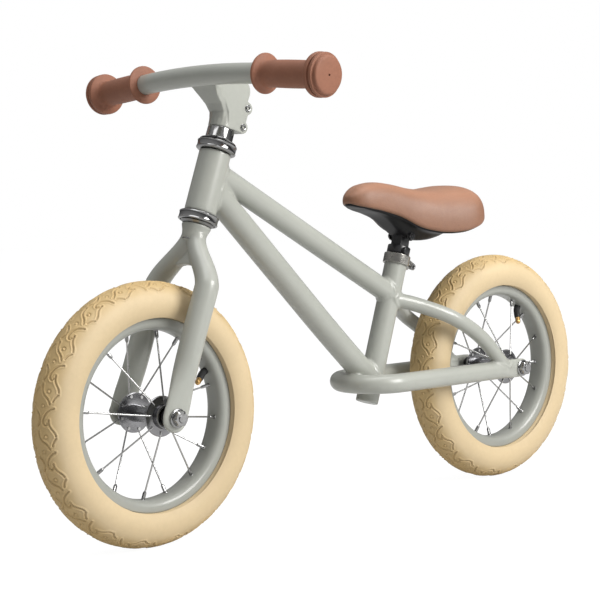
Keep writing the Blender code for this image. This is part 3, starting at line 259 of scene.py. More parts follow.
def wear_and_painted_light_group():
    """Edges rubbed lighter with a painted highlight, and hollows darker with dust and painted shade."""
    tree, given, out, place = new_group(
        "wear_dust_and_painted_light",
        (
            ("Colour", "Color", (0.5, 0.5, 0.5, 1)),
            ("Edge Colour", "Color", (0.7, 0.7, 0.7, 1)),
            ("Hollow Colour", "Color", (0.1, 0.1, 0.1, 1)),
            ("Edge", "Float", 0.3),
            ("Hollow", "Float", 0.3),
        ),
        (("Colour", "Color"),),
    )
    point = node(tree, "ShaderNodeNewGeometry").outputs["Pointiness"]
    noise = node(tree, "ShaderNodeTexNoise", {"Vector": place, "Scale": 220.0, "Detail": 4.0}).outputs[0]
    broken = ramp(tree, noise, 0.35, 0.65)
    # Convex edges are made lighter: rubbed wear and a painted highlight.
    edge = math(tree, "MULTIPLY", ramp(tree, point, 0.53, 0.62), broken)
    edge = math(tree, "MULTIPLY", edge, given["Edge"])
    # Hollows are made darker: dust and painted shade.
    hollow = math(tree, "SUBTRACT", 1.0, ramp(tree, point, 0.38, 0.48))
    hollow = math(tree, "MULTIPLY", hollow, given["Hollow"])
    dust_and_painted_shade = mix(tree, hollow, given["Colour"], given["Hollow Colour"])
    tree.links.new(mix(tree, edge, dust_and_painted_shade, given["Edge Colour"]), out["Colour"])
    return tree


def place_group(tree, name, inputs):
    return node(tree, "ShaderNodeGroup", inputs, node_tree=bpy.data.node_groups[name]).outputs


# ---- Materials ----
def shade(colour, factor):
    return (*(min(1.0, value * factor) for value in colour), 1.0)


class Look:
    """One finish: mottled colour, rubbed edges with a painted highlight, dust with painted shade in the
    hollows, and a fine grain on a Principled shader.
    """

    DEFAULTS = {
        "second": 0.86, "scale": 30.0, "amount": 0.6, "drift": 0.08, "edge": 0.25, "hollow": 0.35,
        "edge_factor": 1.25, "grain": 1600.0, "pores": 0.2, "stretch": (1, 1, 1), "strength": 0.25,
        "relief": 0.00006,
    }

    def __init__(self, name, colour, roughness, **given):
        """Keywords that are not among the defaults set the shader's own sockets."""
        self.values = {key: given.pop(key, value) for key, value in self.DEFAULTS.items()}
        self.base = colour
        self.material = bpy.data.materials.new(name)
        self.material.use_nodes = True
        self.material.diffuse_color = (*colour, 1)
        self.tree = self.material.node_tree
        self.shader = self.tree.nodes["Principled BSDF"]
        mottled = place_group(self.tree, "mottle", {
            "Colour": shade(colour, 1.0),
            "Second Colour": shade(colour, self.values["second"]),
            "Scale": self.values["scale"],
            "Amount": self.values["amount"],
            "Roughness": roughness,
            "Roughness Drift": self.values["drift"],
        })
        self.colour = mottled["Colour"]
        self.tree.links.new(mottled["Roughness"], self.shader.inputs["Roughness"])
        self.height = place_group(self.tree, "grain", {
            "Scale": self.values["grain"],
            "Pores": self.values["pores"],
            "Stretch": self.values["stretch"],
        })["Height"]
        for key, value in given.items():
            self.shader.inputs[key.replace("_", " ").title().replace("Ior", "IOR")].default_value = value

    def done(self):
        """Links the colour and the height, as they are now, and gives the material."""
        # Rubbed, lighter edges with a painted highlight, and darker hollows with dust and painted shade.
        wear_and_painted_light = place_group(self.tree, "wear_dust_and_painted_light", {
            "Colour": self.colour,
            "Edge Colour": shade(self.base, self.values["edge_factor"]),
            "Hollow Colour": shade(self.base, 0.35),
            "Edge": self.values["edge"],
            "Hollow": self.values["hollow"],
        })
        self.tree.links.new(wear_and_painted_light["Colour"], self.shader.inputs["Base Color"])
        bump = node(self.tree, "ShaderNodeBump", {
            "Strength": self.values["strength"],
            "Distance": self.values["relief"],
            "Height": self.height,
        })
        self.tree.links.new(bump.outputs[0], self.shader.inputs["Normal"])
        return self.material


def tyre_look(name, colours, hub):
    """Cream rubber: lighter side walls, a darker tread, and dust with painted shade darkening the grooves."""
    look = Look(name, colours.tyre, 0.62, second=0.90, scale=22.0, amount=0.5, grain=1100.0, pores=0.35,
                strength=0.35, relief=0.00012, edge=0.35, hollow=0.5, edge_factor=1.12)
    tree = look.tree
    place = node(tree, "ShaderNodeTexCoord").outputs["Object"]
    flat = vector(tree, "MULTIPLY", vector(tree, "SUBTRACT", place, hub), (1, 0, 1))
    radius = node(tree, "ShaderNodeVectorMath", {0: flat}, operation="LENGTH").outputs["Value"]
    noise = node(tree, "ShaderNodeTexNoise", {"Vector": place, "Scale": 60.0, "Detail": 5.0}).outputs[0]
    ragged = math(tree, "MULTIPLY_ADD", noise, 0.006, radius)
    tread = ramp(tree, ragged, TYRE_RADIUS - 0.013, TYRE_RADIUS + 0.002)
    mask = math(tree, "MULTIPLY", tread, 0.90)
    look.colour = mix(tree, mask, look.colour, (*colours.tread, 1))
    # The grooves are painted darker: dust and painted shade.
    groove = node(tree, "ShaderNodeAttribute", attribute_name="groove").outputs["Fac"]
    dark = math(tree, "MULTIPLY", groove, 0.14)
    look.colour = mix(tree, dark, look.colour, shade(colours.tread, 0.50))
    return look.done()


def leather_look(name, colour):
    """Leather-look cover: pebbled cells with painted shade in their grooves, soft creases, and a painted
    highlight that makes the faces that look up paler.
    """
    look = Look(name, colour, 0.42, second=0.80, scale=16.0, amount=0.55, drift=0.14, strength=0.5,
                relief=0.00018, edge=0.2, hollow=0.4, sheen_weight=0.04, coat_weight=0.05,
                coat_roughness=0.35)
    tree = look.tree
    place = node(tree, "ShaderNodeTexCoord").outputs["Object"]
    warp = node(tree, "ShaderNodeTexNoise", {"Vector": place, "Scale": 120.0, "Detail": 2.0})
    moved = vector(tree, "MULTIPLY_ADD", warp.outputs["Color"], (0.004, 0.004, 0.004), place)
    spacing = {"Vector": moved, "Scale": 620.0}
    cells = node(tree, "ShaderNodeTexVoronoi", spacing, feature="DISTANCE_TO_EDGE")
    pebble = ramp(tree, cells.outputs["Distance"], 0.0, 0.16)
    crease = node(tree, "ShaderNodeTexNoise", {"Vector": moved, "Scale": 75.0, "Detail": 6.0}).outputs[0]
    fine = math(tree, "MULTIPLY_ADD", look.height, 0.3, pebble)
    look.height = math(tree, "MULTIPLY_ADD", crease, 1.2, fine)
    # The grooves between the pebbles are painted darker: painted shade.
    pebble_groove_shade = math(tree, "MULTIPLY", math(tree, "SUBTRACT", 1.0, pebble), 0.35)
    look.colour = mix(tree, pebble_groove_shade, look.colour, shade(colour, 0.55))
    # Faces that look up are painted paler: a painted highlight.
    normal = node(tree, "ShaderNodeNewGeometry").outputs["Normal"]
    top = node(tree, "ShaderNodeSeparateXYZ", {0: normal}).outputs[2]
    pale = math(tree, "MULTIPLY", ramp(tree, top, 0.25, 0.90), 0.70)
    look.colour = mix(tree, pale, look.colour, shade(colour, 1.48))
    return look.done()


def make_looks(colours):
    """Every finish by name."""
    mottle_group()
    grain_group()
    wear_and_painted_light_group()
    paint = {"second": 0.93, "scale": 14.0, "grain": 520.0, "pores": 0.05, "strength": 0.18, "edge": 0.12,
             "relief": 0.00005, "coat_weight": 0.35, "coat_roughness": 0.12, "hollow": 0.25, "drift": 0.05}
    steel = {"metallic": 1.0, "second": 0.80, "scale": 60.0, "grain": 900.0, "edge": 0.4, "hollow": 0.6}
    make = {
        "paint": Look("paint_sage", colours.paint, 0.36, **paint),
        "rim": Look("paint_rim", colours.rim, 0.40, **paint),
        "chrome": Look("chrome", (0.31, 0.31, 0.31), 0.12, **{**steel, "drift": 0.05, "strength": 0.05}),
        "zinc": Look("zinc_plate", (0.35, 0.35, 0.35), 0.22, **{**steel, "amount": 0.8, "strength": 0.15}),
        "dark_steel": Look("hub_steel", (0.30, 0.30, 0.31), 0.24, **{**steel, "strength": 0.12}),
        "bearing": Look("bearing_steel", (0.26, 0.26, 0.26), 0.30, **steel),
        "satin": Look("collar_satin", (0.44, 0.43, 0.40), 0.27, **{**steel, "stretch": (0.15, 0.15, 6.0)}),
        "spoke": Look("spoke_steel", (0.52, 0.52, 0.52), 0.25, **steel),
        "brass": Look("valve_brass", colours.brass, 0.28, **steel),
        "black_steel": Look("black_steel", colours.black, 0.30, coat_weight=0.3, coat_roughness=0.15,
                            edge_factor=6.0, edge=0.5, second=1.4),
        "plastic": Look("black_plastic", colours.black, 0.40, grain=1300.0, pores=0.6, strength=0.4,
                        relief=0.0001, second=1.3, edge_factor=2.0, specular_ior_level=0.22),
        "black_rubber": Look("black_rubber", colours.black, 0.62, grain=900.0, second=1.6, strength=0.4),
        "grip": Look("grip_rubber", colours.grip, 0.55, grain=1200.0, pores=0.5, strength=0.45,
                     relief=0.00012, second=0.84, scale=35.0, edge=0.3, hollow=0.6, edge_factor=1.3,
                     specular_ior_level=0.3),
    }
    looks = {key: look.done() for key, look in make.items()}
    looks["leather"] = leather_look("saddle_leather", colours.leather)
    for side, hub in HUBS.items():
        looks[side + "_tyre"] = tyre_look(side + "_tyre_cream", colours, hub)
    return looks


LOOKS = {}


def look(name):
    if not LOOKS:
        LOOKS.update(make_looks(bpy.context.scene.bike_colours))
    return LOOKS[name]


# ---- Shapes ----
def smooth_rows(rows, steps):
    """Rows of numbers with smooth rows between them, through every one given."""
    rows = np.array(rows, float)
    ends = np.vstack([rows[0] * 2 - rows[1], rows, rows[-1] * 2 - rows[-2]])
    made = [rows[0]]
    for a, b, c, d in zip(ends, ends[1:], ends[2:], ends[3:]):
        for i in range(1, steps + 1):
            t = i / steps
            bend = (c - a) * t + (2 * a - 5 * b + 4 * c - d) * t**2 + (3 * b - a - 3 * c + d) * t**3
            made.append(b + 0.5 * bend)
    return made


def smooth_path(points, steps):
    return [Vector(row) for row in smooth_rows(points, steps)]


def mm(*values, out=0.0, up=0.0):
    """Profile points from radius, height, radius, height... in millimetres, beyond out and above up."""
    return [(out + r / 1000, up + h / 1000) for r, h in zip(values[::2], values[1::2])]


def circle(matrix, radius, height, sides):
    """A ring of points. The radius is a number, or a function of the angle."""
    turns = [2 * pi * (i + 0.5) / sides for i in range(sides)]
    radii = [radius(t) if callable(radius) else radius for t in turns]
    return [matrix @ Vector((r * cos(t), r * sin(t), height)) for r, t in zip(radii, turns)]


class Shape:
    """Collects skins of points, and becomes one piece."""

    def __init__(self):
        self.points = []
        self.faces = []

    def skin(self, rings, closed=False):
        """Joins rings of points. Closed joins the last ring to the first; otherwise the ends are capped."""
        base, count, rows = len(self.points), len(rings[0]), len(rings)
        for ring in rings:
            self.points.extend(ring)
        for row in range(rows if closed else rows - 1):
            one, other = base + row * count, base + (row + 1) % rows * count
            for i in range(count):
                j = (i + 1) % count
                self.faces.append((one + i, one + j, other + j, other + i))
        if not closed:
            self.faces.append(tuple(range(base, base + count)))
            self.faces.append(tuple(range(base + (rows - 1) * count, base + rows * count)))
        return self

    def lathe(self, profile, matrix, sides=64, closed=False):
        """Turns a profile of (radius, height) about the matrix's Z."""
        return self.skin([circle(matrix, r, h, sides) for r, h in profile], closed)

    def sweep(self, path, sizes, across=SIDEWAYS, sides=32, closed=False, wall=0.0):
        """A tube along the path. sizes holds each point's half sizes, across and square to it."""
        rings, inner = [], []
        turns = [2 * pi * (i + 0.5) / sides for i in range(sides)]
        for i, (point, (a, b)) in enumerate(zip(path, sizes)):
            before = path[i - 1] if i or closed else point
            after = path[(i + 1) % len(path)] if i + 1 < len(path) or closed else point
            tangent = (after - before).normalized()
            side = (across - tangent * across.dot(tangent)).normalized()
            up = tangent.cross(side)
            rings.append([point + side * (a * cos(t)) + up * (b * sin(t)) for t in turns])
            inner.append([point + side * ((a - wall) * cos(t)) + up * ((b - wall) * sin(t)) for t in turns])
        if wall:
            return self.skin(rings + inner[::-1], True)
        return self.skin(rings, closed)

    def tube(self, path, radius, **given):
        return self.sweep(path, [(radius, radius)] * len(path), **given)

    def plate(self, outline, low, high):
        """Extrudes an outline along +Y."""
        return self.skin([[Vector((p.x, y, p.z)) for p in outline] for y in (low, high)])

    def tree(self):
        return BVHTree.FromPolygons([Vector(p) for p in self.points], self.faces)

    def mesh(self, name):
        mesh = bpy.data.meshes.new(name)
        mesh.from_pydata(self.points, [], self.faces)
        bm = bmesh.new()
        bm.from_mesh(mesh)
        bmesh.ops.recalc_face_normals(bm, faces=bm.faces)
        bm.to_mesh(mesh)
        bm.free()
        return mesh

    def make(self, name, finish, body, slot, *nodes, sharp=38, bevel=0.0, fuse=0.0, soften=0):
        """The piece: its finish, the body it rides on, its slot, which is not used, and the CAD nodes that it
        stands for.
        """
        obj = bpy.data.objects.new(name, self.mesh(name))
        bpy.context.scene.collection.objects.link(obj)
        if bevel:
            add = obj.modifiers.new("edges", "BEVEL")
            add.width, add.segments, add.limit_method, add.angle_limit = bevel, 3, "ANGLE", radians(35)
        if fuse:
            add = obj.modifiers.new("fuse", "REMESH")
            add.mode, add.voxel_size = "VOXEL", fuse
            add = obj.modifiers.new("soften", "SMOOTH")
            add.factor, add.iterations = 0.5, soften
        if obj.modifiers:
            bpy.context.view_layer.update()
            whole = obj.evaluated_get(bpy.context.evaluated_depsgraph_get())
            mesh = bpy.data.meshes.new_from_object(whole)
            obj.modifiers.clear()
            obj.data = mesh
            mesh.name = name
        obj.data.shade_smooth()
        if not fuse:
            obj.data.set_sharp_from_angle(angle=radians(sharp))
        obj.data.materials.clear()
        obj.data.materials.append(look(finish))
        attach(obj, body)
        if nodes:
            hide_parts(*nodes)
        return obj


def weld(shape, start, end, radius, size, *targets):
    """A rippled bead where a straight tube from start to end meets the first of the targets."""
    trees = [target.tree() for target in targets]
    along = (end - start).normalized()
    matrix = axis_frame(start, along)
    corners = []
    for point in circle(matrix, radius, 0, 48):
        hits = [tree.ray_cast(point, along) for tree in trees]
        near = [(hit[3], hit[0]) for hit in hits if hit[0] is not None]
        if near:
            corners.append(min(near, key=lambda item: item[0])[1])
    loop = corners[-1:] + corners + corners[:2]
    path = smooth_path(loop, 4)[4:-4]
    travelled, sizes = 0.0, []
    for one, other in zip(path, path[1:] + path[:1]):
        ripple = 1 + 0.07 * sin(2 * pi * travelled / 0.0034)
        sizes.append((size * ripple, size * ripple))
        travelled += (other - one).length
    return shape.sweep(path, sizes, across=along, sides=10, closed=True)


def hexagon(flat):
    """The radius of a hexagonal bar by angle, its corners eased."""
    def radius(turn):
        inside = (turn % (pi / 3)) - pi / 6
        return min(flat / cos(inside), flat * 1.115)
    return radius


def threaded(shape, matrix, radius, low, high, pitch=0.00125, depth=0.0005, sides=24):
    """A screw thread: each ring's radius rises and falls round the helix."""
    rows = int((high - low) / (pitch / 6))
    rings = []
    for row in range(rows + 1):
        height = low + (high - low) * row / rows
        full = depth * min(1.0, (high - height) / 0.001, (height - low) / 0.001)

        def helix(turn, turns=height / pitch, full=full):
            return radius - depth + full - full * abs(2 * ((turns - turn / (2 * pi)) % 1) - 1)

        rings.append(circle(matrix, helix, height, sides))
    return shape.skin(rings)


def nut(shape, matrix, flat, low, high, bore=None):
    """A hexagon nut with turned corners."""
    chamfer = flat * 0.12
    rings = [
        circle(matrix, flat * 0.96, low, 48),
        circle(matrix, hexagon(flat), low + chamfer * 0.6, 48),
        circle(matrix, hexagon(flat), high - chamfer, 48),
        circle(matrix, flat * 0.95, high, 48),
    ]
    if bore:
        rings += [circle(matrix, bore, high, 48), circle(matrix, bore, low, 48)]
        return shape.skin(rings, closed=True)
    return shape.skin(rings)


def socket_bolt(shape, matrix, radius, low, high, key):
    """A round bolt head, its corner eased, with a hexagon socket in its end."""
    ease = radius * 0.15
    socket = high - (high - low) * 0.55
    rings = [circle(matrix, radius, low, 36), circle(matrix, radius, high - ease, 36)]
    rings += [circle(matrix, radius - ease, high, 36), circle(matrix, key * 1.2, high, 36)]
    rings += [circle(matrix, hexagon(key), high - 0.0002, 36), circle(matrix, hexagon(key), socket, 36)]
    return shape.skin(rings)


def wheel_frame(hub, sign=1):
    return axis_frame(hub, SIDEWAYS * sign, FORWARD)


# ---- Frame and fork ----
def hoop_rows(sizes):
    """The lower tube's stations from the left end round the front to the right end."""
    slope = 0.0020 / 0.2255
    spread = TYRE_SECTION + 0.0195
    front = -0.0235 - spread
    rear = HUBS["rear"].x
    full = sizes.stay_radius
    thin = 0.0045
    lug = LUG_FACE - 0.0045
    straight = front - rear
    round_part = (0.0420, 0.0900, straight - 0.0480, straight - 0.0240, straight - 0.0120)
    side = []
    for back, y, tall, wide in (
        (-0.0128, lug, 0.20, 0.35), (-0.0124, lug, 0.50, 0.75), (-0.0108, lug, 0.80, 1.0),
        (-0.0080, lug, 0.96, 1.0), (0.0020, lug, 1.04, 1.0), (0.0150, lug - 0.0004, 1.04, 1.25),
        (0.0280, spread + 0.0010, 1.0, 2.10),
        *((back, spread, 1.0, full / thin) for back in round_part),
    ):
        x = rear + back
        side.append((x, y, AXLE_HEIGHT + (x - rear) * slope, wide * thin, tall * full))
    bend = []
    for i in range(13):
        a = radians(90 - 15 * i)
        x = front + spread * cos(a)
        bend.append((x, spread * sin(a), AXLE_HEIGHT + (x - rear) * slope, full, full))
    return side + bend + [(x, -y, z, a, b) for x, y, z, a, b in side[::-1]]


def seatstay_rows(sign):
    """A seatstay from the seat tube, out round the tyre, and down to the hoop's end."""
    root, hub = seat_point(0, 0, -0.0530), HUBS["rear"]
    points = [root + SIDEWAYS * (sign * 0.0047)]
    for origin, x, y, z in (
        (root, -0.0320, 0.0190, -0.0090), (root, -0.0757, 0.0430, -0.0286),
        (hub, 0.0750, 0.0475, 0.0460), (hub, 0.0300, 0.0462, 0.0050),
    ):
        points.append(origin + Vector((x, sign * y, z)))
    return smooth_path(points, 10)


class BIKE_OT_frame(Operator):
    """Build the welded frame: head, top, down and seat tubes, the bent chainstay and the seatstays"""

    bl_idname = "bike.frame"
    bl_label = "Frame"

    def execute(self, context):
        sizes = context.scene.bike_sizes
        head, seat, top, down, hoop = Shape(), Shape(), Shape(), Shape(), Shape()
        low, high = steering_point(0, 0, 0.0002), steering_point(0, 0, 0.0738)
        head.tube([low, high], sizes.head_radius, sides=96)
        seat_low = seat_point(0, 0, -SEAT_TUBE_LENGTH)
        seat.tube([seat_low, SEAT_TOP], sizes.seat_tube_radius, sides=72)
        top_path = [seat_point(0, 0, -0.0466), steering_point(0, 0, 0.0532)]
        top.tube(top_path, sizes.top_tube_radius, sides=72)
        bend = Vector((0.0080, 0, AXLE_HEIGHT + 0.0660))
        rear, front = seat_point(0, 0, -0.1610), steering_point(0, 0, 0.0352)
        one, other = bend.lerp(rear, 0.45), bend.lerp(front, 0.22)
        curve = [one.lerp(bend, t).lerp(bend.lerp(other, t), t) for t in (i / 12 for i in range(13))]
        down.tube([rear, *curve, front], sizes.down_tube_radius, sides=72)
        rows = smooth_rows(hoop_rows(sizes), 4)
        hoop.sweep([Vector(r[:3]) for r in rows], [(r[4], r[3]) for r in rows], across=UPWARD, sides=56)
        whole = Shape()
        size = sizes.weld_size
        middle = top_path[0].lerp(top_path[1], 0.5)
        weld(whole, middle, top_path[1], sizes.top_tube_radius, size, head)
        weld(whole, middle, top_path[0], sizes.top_tube_radius, size, seat)
        weld(whole, other, front, sizes.down_tube_radius, size, head, top)
        weld(whole, one, rear, sizes.down_tube_radius, size, seat, hoop)
        for _, sign in SIDES:
            path = seatstay_rows(sign)
            stay = Shape().tube(path, sizes.seatstay_radius, sides=40)
            weld(whole, path[8], path[1], sizes.seatstay_radius, size * 0.85, seat)
            weld(whole, path[-12], path[-1], sizes.seatstay_radius, size * 0.85, hoop)
            whole.points, whole.faces = merged(whole, stay)
        for part in (head, seat, top, down, hoop):
            whole.points, whole.faces = merged(whole, part)
        whole.make("frame_weldment", "paint", "frame", "frame_paint", "head_tube", "top_tube", "down_tube",
                   "seat_tube", "chainstay_hoop", "seatstay_left", "seatstay_right", fuse=0.0011, soften=7)
        return {"FINISHED"}


def merged(one, other):
    base = len(one.points)
    return one.points + other.points, one.faces + [tuple(i + base for i in face) for face in other.faces]


def blade_rows(sign, sizes):
    """A fork blade from inside the crown, out over the tyre, and straight down to its flattened end."""
    full = sizes.blade_radius
    spread = TYRE_SECTION + 0.0052 + full
    rake, drop = 0.0008, 0.2376
    lug = LUG_FACE - 0.0045
    rows = []
    for i in range(9):
        t = i / 8
        ease = t * t * (3 - 2 * t)
        size = 0.0104 + (full - 0.0104) * t
        rows.append((0, sign * (0.0056 + (spread - 0.0056) * ease), -0.0262 - 0.0640 * t, size, size))
    for height, y, wide, thick in (
        (0.110, spread, full, full), (0.070, spread, full, full), (0.050, spread + 0.0004, 0.0148, 0.0112),
        (0.034, (spread + lug) / 2, 0.0158, 0.0080), (0.018, lug, 0.0166, 0.0050),
        (0.000, lug, 0.0168, 0.0045), (-0.0080, lug, 0.0148, 0.0045), (-0.0125, lug, 0.0112, 0.0045),
        (-0.0152, lug, 0.0070, 0.0042), (-0.0163, lug, 0.0030, 0.0034),
    ):
        rows.append((rake, sign * y, height - drop, thick, wide))
    return smooth_rows(rows, 4)


class BIKE_OT_fork(Operator):
    """Build the fork: the flared crown, both blades and the web between them"""

    bl_idname = "bike.fork"
    bl_label = "Fork"

    def execute(self, context):
        sizes = context.scene.bike_sizes
        fork = Shape()
        for _, sign in SIDES:
            rows = blade_rows(sign, sizes)
            path = [steering_point(*row[:3]) for row in rows]
            fork.sweep(path, [(row[3], row[4]) for row in rows], sides=56)
        top = -0.0145
        fork.lathe(
            mm(10.5, 0, 16.2, 0, 17.1, -0.8, 17, -2.6, 16, -5, 14.8, -8.5, 14.2, -12.5, 13.2, -16.5,
               10, -20.5, up=top),
            STEERING, 96,
        )
        rings = []
        for y in np.linspace(-0.0260, 0.0260, 27):
            arch = (y / 0.0260) ** 2
            low, high = -0.0615 - 0.0080 * arch, -0.0370 - 0.0140 * arch
            half = 0.0042 + 0.0030 * arch
            corners = [(-half, low), (half, low), (half * 0.55, high), (-half * 0.55, high)]
            rings.append([steering_point(f, y, u) for f, u in corners])
        fork.skin(rings)
        fork.make("fork_weldment", "paint", "steering", "frame_paint", "fork_crown", "fork_blade_left",
                  "fork_blade_right", "fork_bridge", fuse=0.0010, soften=6)
        return {"FINISHED"}


# ---- Headset and stem ----
class BIKE_OT_headset(Operator):
    """Build the chrome headset: both cups, the cone above the upper cup and the neck"""

    bl_idname = "bike.headset"
    bl_label = "Headset"

    def execute(self, context):
        ring = mm(15, 0, 19.6, 0, 21.9, 0.5, 23, 1.3, 23.3, 2.2, 22.9, 3, 22.8, 3.3, 22.7, 4, 22.7, 8,
                  22.8, 8.6, 23, 8.9, 23.3, 9.6, 23, 10.4, 22.2, 10.9, 20.6, 11, 20.6, 4, 15, 4)
        low = axis_frame(steering_point(0, 0, -0.0002), -STEER_UP)
        high = axis_frame(steering_point(0, 0, 0.0742), STEER_UP)
        for name, matrix in (("lower", low), ("upper", high)):
            cup = Shape().lathe(ring, matrix, 96, closed=True)
            cup.make(f"headset_{name}_cup", "chrome", "frame", "headset_chrome", f"headset_{name}_cup")
        base = 0.0860
        cone = mm(13, 0, 20.3, 0, 21.2, 0.4, 21.3, 1, 20.5, 1.7, 18, 2.3, 16.6, 2.6, 13, 2.6, up=base)
        Shape().lathe(cone, STEERING, 96, closed=True).make(
            "headset_upper_cone", "chrome", "steering", "headset_chrome", "headset_upper_cone")
        foot = base + 0.0027
        neck = mm(13, 0, 16.3, 0, 16.5, 0.6, 15.9, 1.4, 15.8, 12.8, 15.4, 13.6, 13, 13.6, up=foot)
        Shape().lathe(neck, STEERING, 96, closed=True).make(
            "headset_neck", "chrome", "steering", "headset_chrome", "headset_neck")
        return {"FINISHED"}


STEM_FOOT = 0.1028
BAR_REACH, BAR_HEIGHT, BAR_SWEEP, BAR_RISE = 0.0370, 0.1413, 0.0110, 0.0085
BAR_HALF, GRIP_END, GRIP_LENGTH = 0.2000, 0.2032, 0.0980


def bar_path(steps):
    """The handlebar's centre line: straight under the grips, a shallow bow between them."""
    bend = GRIP_END - GRIP_LENGTH
    bow = bend**2 + 2 * bend * (GRIP_END - bend)
    path = []
    for y in (-BAR_HALF, *(bend * (2 * i / steps - 1) for i in range(steps + 1)), BAR_HALF):
        inside = min(abs(y), bend)
        drop = (inside**2 + 2 * inside * (abs(y) - inside)) / bow
        left = 1 - drop
        path.append(steering_point(BAR_REACH + BAR_SWEEP * left, y, BAR_HEIGHT + BAR_RISE * left))
    return path


class BIKE_OT_stem(Operator):
    """Build the stem: its folded front, the two pinching ears with their bolts"""

    bl_idname = "bike.stem"
    bl_label = "Stem"

    def execute(self, context):
        sizes = context.scene.bike_sizes
        front = BAR_REACH + BAR_SWEEP
        top_z = steering_point(front, 0, BAR_HEIGHT + BAR_RISE).z - sizes.bar_radius * 0.45
        side = 0.0160

        def top(forward):
            return (top_z - HEAD_LOW.z - forward * STEER_FORWARD.z) / STEER_UP.z

        stem = Shape()
        rings = []
        for t in (0.0, 0.15, 0.3, 0.45, 0.6, 0.8, 1.0):
            spread = max(0.0, (t - 0.3) / 0.7)
            reach_now = side + (front - side) * spread
            flare = max(0.0, (spread - 0.43) / 0.57)
            half = 0.0138 + 0.0022 * min(1.0, spread / 0.43) + 0.0090 * flare
            wing = min(half, 0.0155)
            back = max(0.0030, reach_now - 0.0140)
            folded = [(-0.0040, -0.0150), (back, -wing), ((back + reach_now) / 2, -(wing + half) / 2),
                      (reach_now, -half), (reach_now + 0.0006, -half * 0.6),
                      (reach_now + 0.0010, -half * 0.2)]
            curled = [(-0.0040, -0.0150)]
            curled += [(side * cos(a), -side * sin(a)) for a in (1.40, 1.12, 0.84, 0.50, 0.17)]
            flat = min(1.0, max(0.0, (t - 0.10) / 0.45))
            around = [(f * flat + g * (1 - flat), y * flat + z * (1 - flat))
                      for (f, y), (g, z) in zip(folded, curled)]
            around += [(f, -y) for f, y in around[::-1]]
            rings.append([steering_point(f, y, STEM_FOOT + (top(f) - STEM_FOOT) * t) for f, y in around])
        stem.skin(rings)
        lobes = ((0.0315, 75, 245), (0.0082, 112, 285))
        rise = top(0) - STEM_FOOT
        edge = [(0.0020, STEM_FOOT + 0.0004), (0.0080, STEM_FOOT + 0.3 * rise),
                (0.0320, top(0.032) - 0.0003)]
        for i in range(9):
            a = i * pi / 16
            edge.append((-0.0040 - 0.0125 * sin(a), top(-0.004) - 0.0135 + 0.0132 * cos(a)))
        for height, first, last in lobes:
            for i in range(15):
                a = radians(first + (last - first) * i / 14)
                edge.append((-0.0180 + 0.0074 * cos(a), STEM_FOOT + height + 0.0074 * sin(a)))
        outline = [steering_point(f, 0, u) for f, u in edge]
        for low, high in ((-side + 0.0003, -0.0013), (0.0013, side - 0.0003)):
            stem.plate(outline, low, high)
        stem.make("stem", "paint", "steering", "frame_paint", "stem", fuse=0.0007, soften=5)
        for name, height in (("lower", 0.0082), ("upper", 0.0315)):
            bolt = Shape()
            for _, sign in SIDES:
                place = steering_point(-0.0180, 0, STEM_FOOT + height)
                matrix = axis_frame(place, SIDEWAYS * sign, STEER_UP)
                socket_bolt(bolt, matrix, 0.0041, side - 0.0030, side + 0.0012, 0.0021)
            bolt.lathe([(0.0027, -side + 0.004), (0.0027, side - 0.004)], matrix, 24)
            bolt.make(f"stem_bolt_{name}", "zinc", "steering", "zinc_steel", f"stem_bolt_{name}")
        return {"FINISHED"}


class BIKE_OT_handlebar(Operator):
    """Build the handlebar and its grips"""

    bl_idname = "bike.handlebar"
    bl_label = "Handlebar and grips"

    def execute(self, context):
        sizes = context.scene.bike_sizes
        path = bar_path(36)
        bar = Shape().tube(path, sizes.bar_radius, across=STEER_UP, sides=64, wall=0.0016)
        bar.make("handlebar", "paint", "steering", "frame_paint", "handlebar")
        hold = sizes.grip_radius
        for name, end, before in (("left", path[-1], path[-2]), ("right", path[0], path[1])):
            along = (end - before).normalized()
            tip = 0.0032 / abs(along.y)
            start = tip - GRIP_LENGTH
            body = [(hold + 0.0002 + 0.0005 * sin(pi * i / 12), start + 0.0085 + 0.0056 * i)
                    for i in range(13)]
            inner = mm(12, 0, 21, 0, 22.1, 0.4, 22.6, 1.3, 22.6, 2.6, 22, 3.6, 20.5, 4.2, 17.2, 5.2,
                       15.8, 6.5, up=start)
            outer = mm(15.6, -20.5, 16.4, -19.2, 19, -18, 22.8, -17.2, 24.2, -16.4, 24.6, -15.2,
                       24.6, -12, 24.2, -11, 22.4, -10.6, 22.2, -9.8, 22.4, -9, 24, -8.6, 24.3, -8,
                       24.3, -5.8, 24, -5, 21.6, -4.6, 21.3, -4, 21.4, -2.6, 21, -1.3, 20.2, -0.4,
                       18.5, 0, 10, 0.4, 1.6, 0.5, 1.2, 0.1, 1.2, -2.4, 12, -2.4, up=tip)
            profile = inner + body + outer
            grip = Shape().lathe(profile, axis_frame(end, along, STEER_UP), 96, closed=True)
            grip.make("grip_" + name, "grip", "steering", "grip_rubber", "grip_" + name)
        return {"FINISHED"}


# ---- Wheels ----
SIPES = (  # each a curve of (along the tyre, out from its middle), in millimetres
    ((0.0, 21.0), (3.0, 15.5), (8.0, 11.5), (14.0, 9.8), (18.0, 11.0), (19.0, 13.5), (16.5, 14.8)),
    ((13.0, 16.2), (17.0, 16.4), (22.0, 18.6), (27.0, 22.2), (31.0, 23.6)),
    ((25.0, 4.0), (31.0, 4.8), (36.0, 8.2), (40.0, 13.2), (45.0, 16.0)),
    ((34.0, 23.8), (38.0, 20.6), (42.0, 19.2)),
    ((4.0, 1.2), (9.0, 5.0), (15.0, 5.6), (20.0, 3.0)),
)
DOTS = ((31.5, 12.6), (48.0, 8.2))


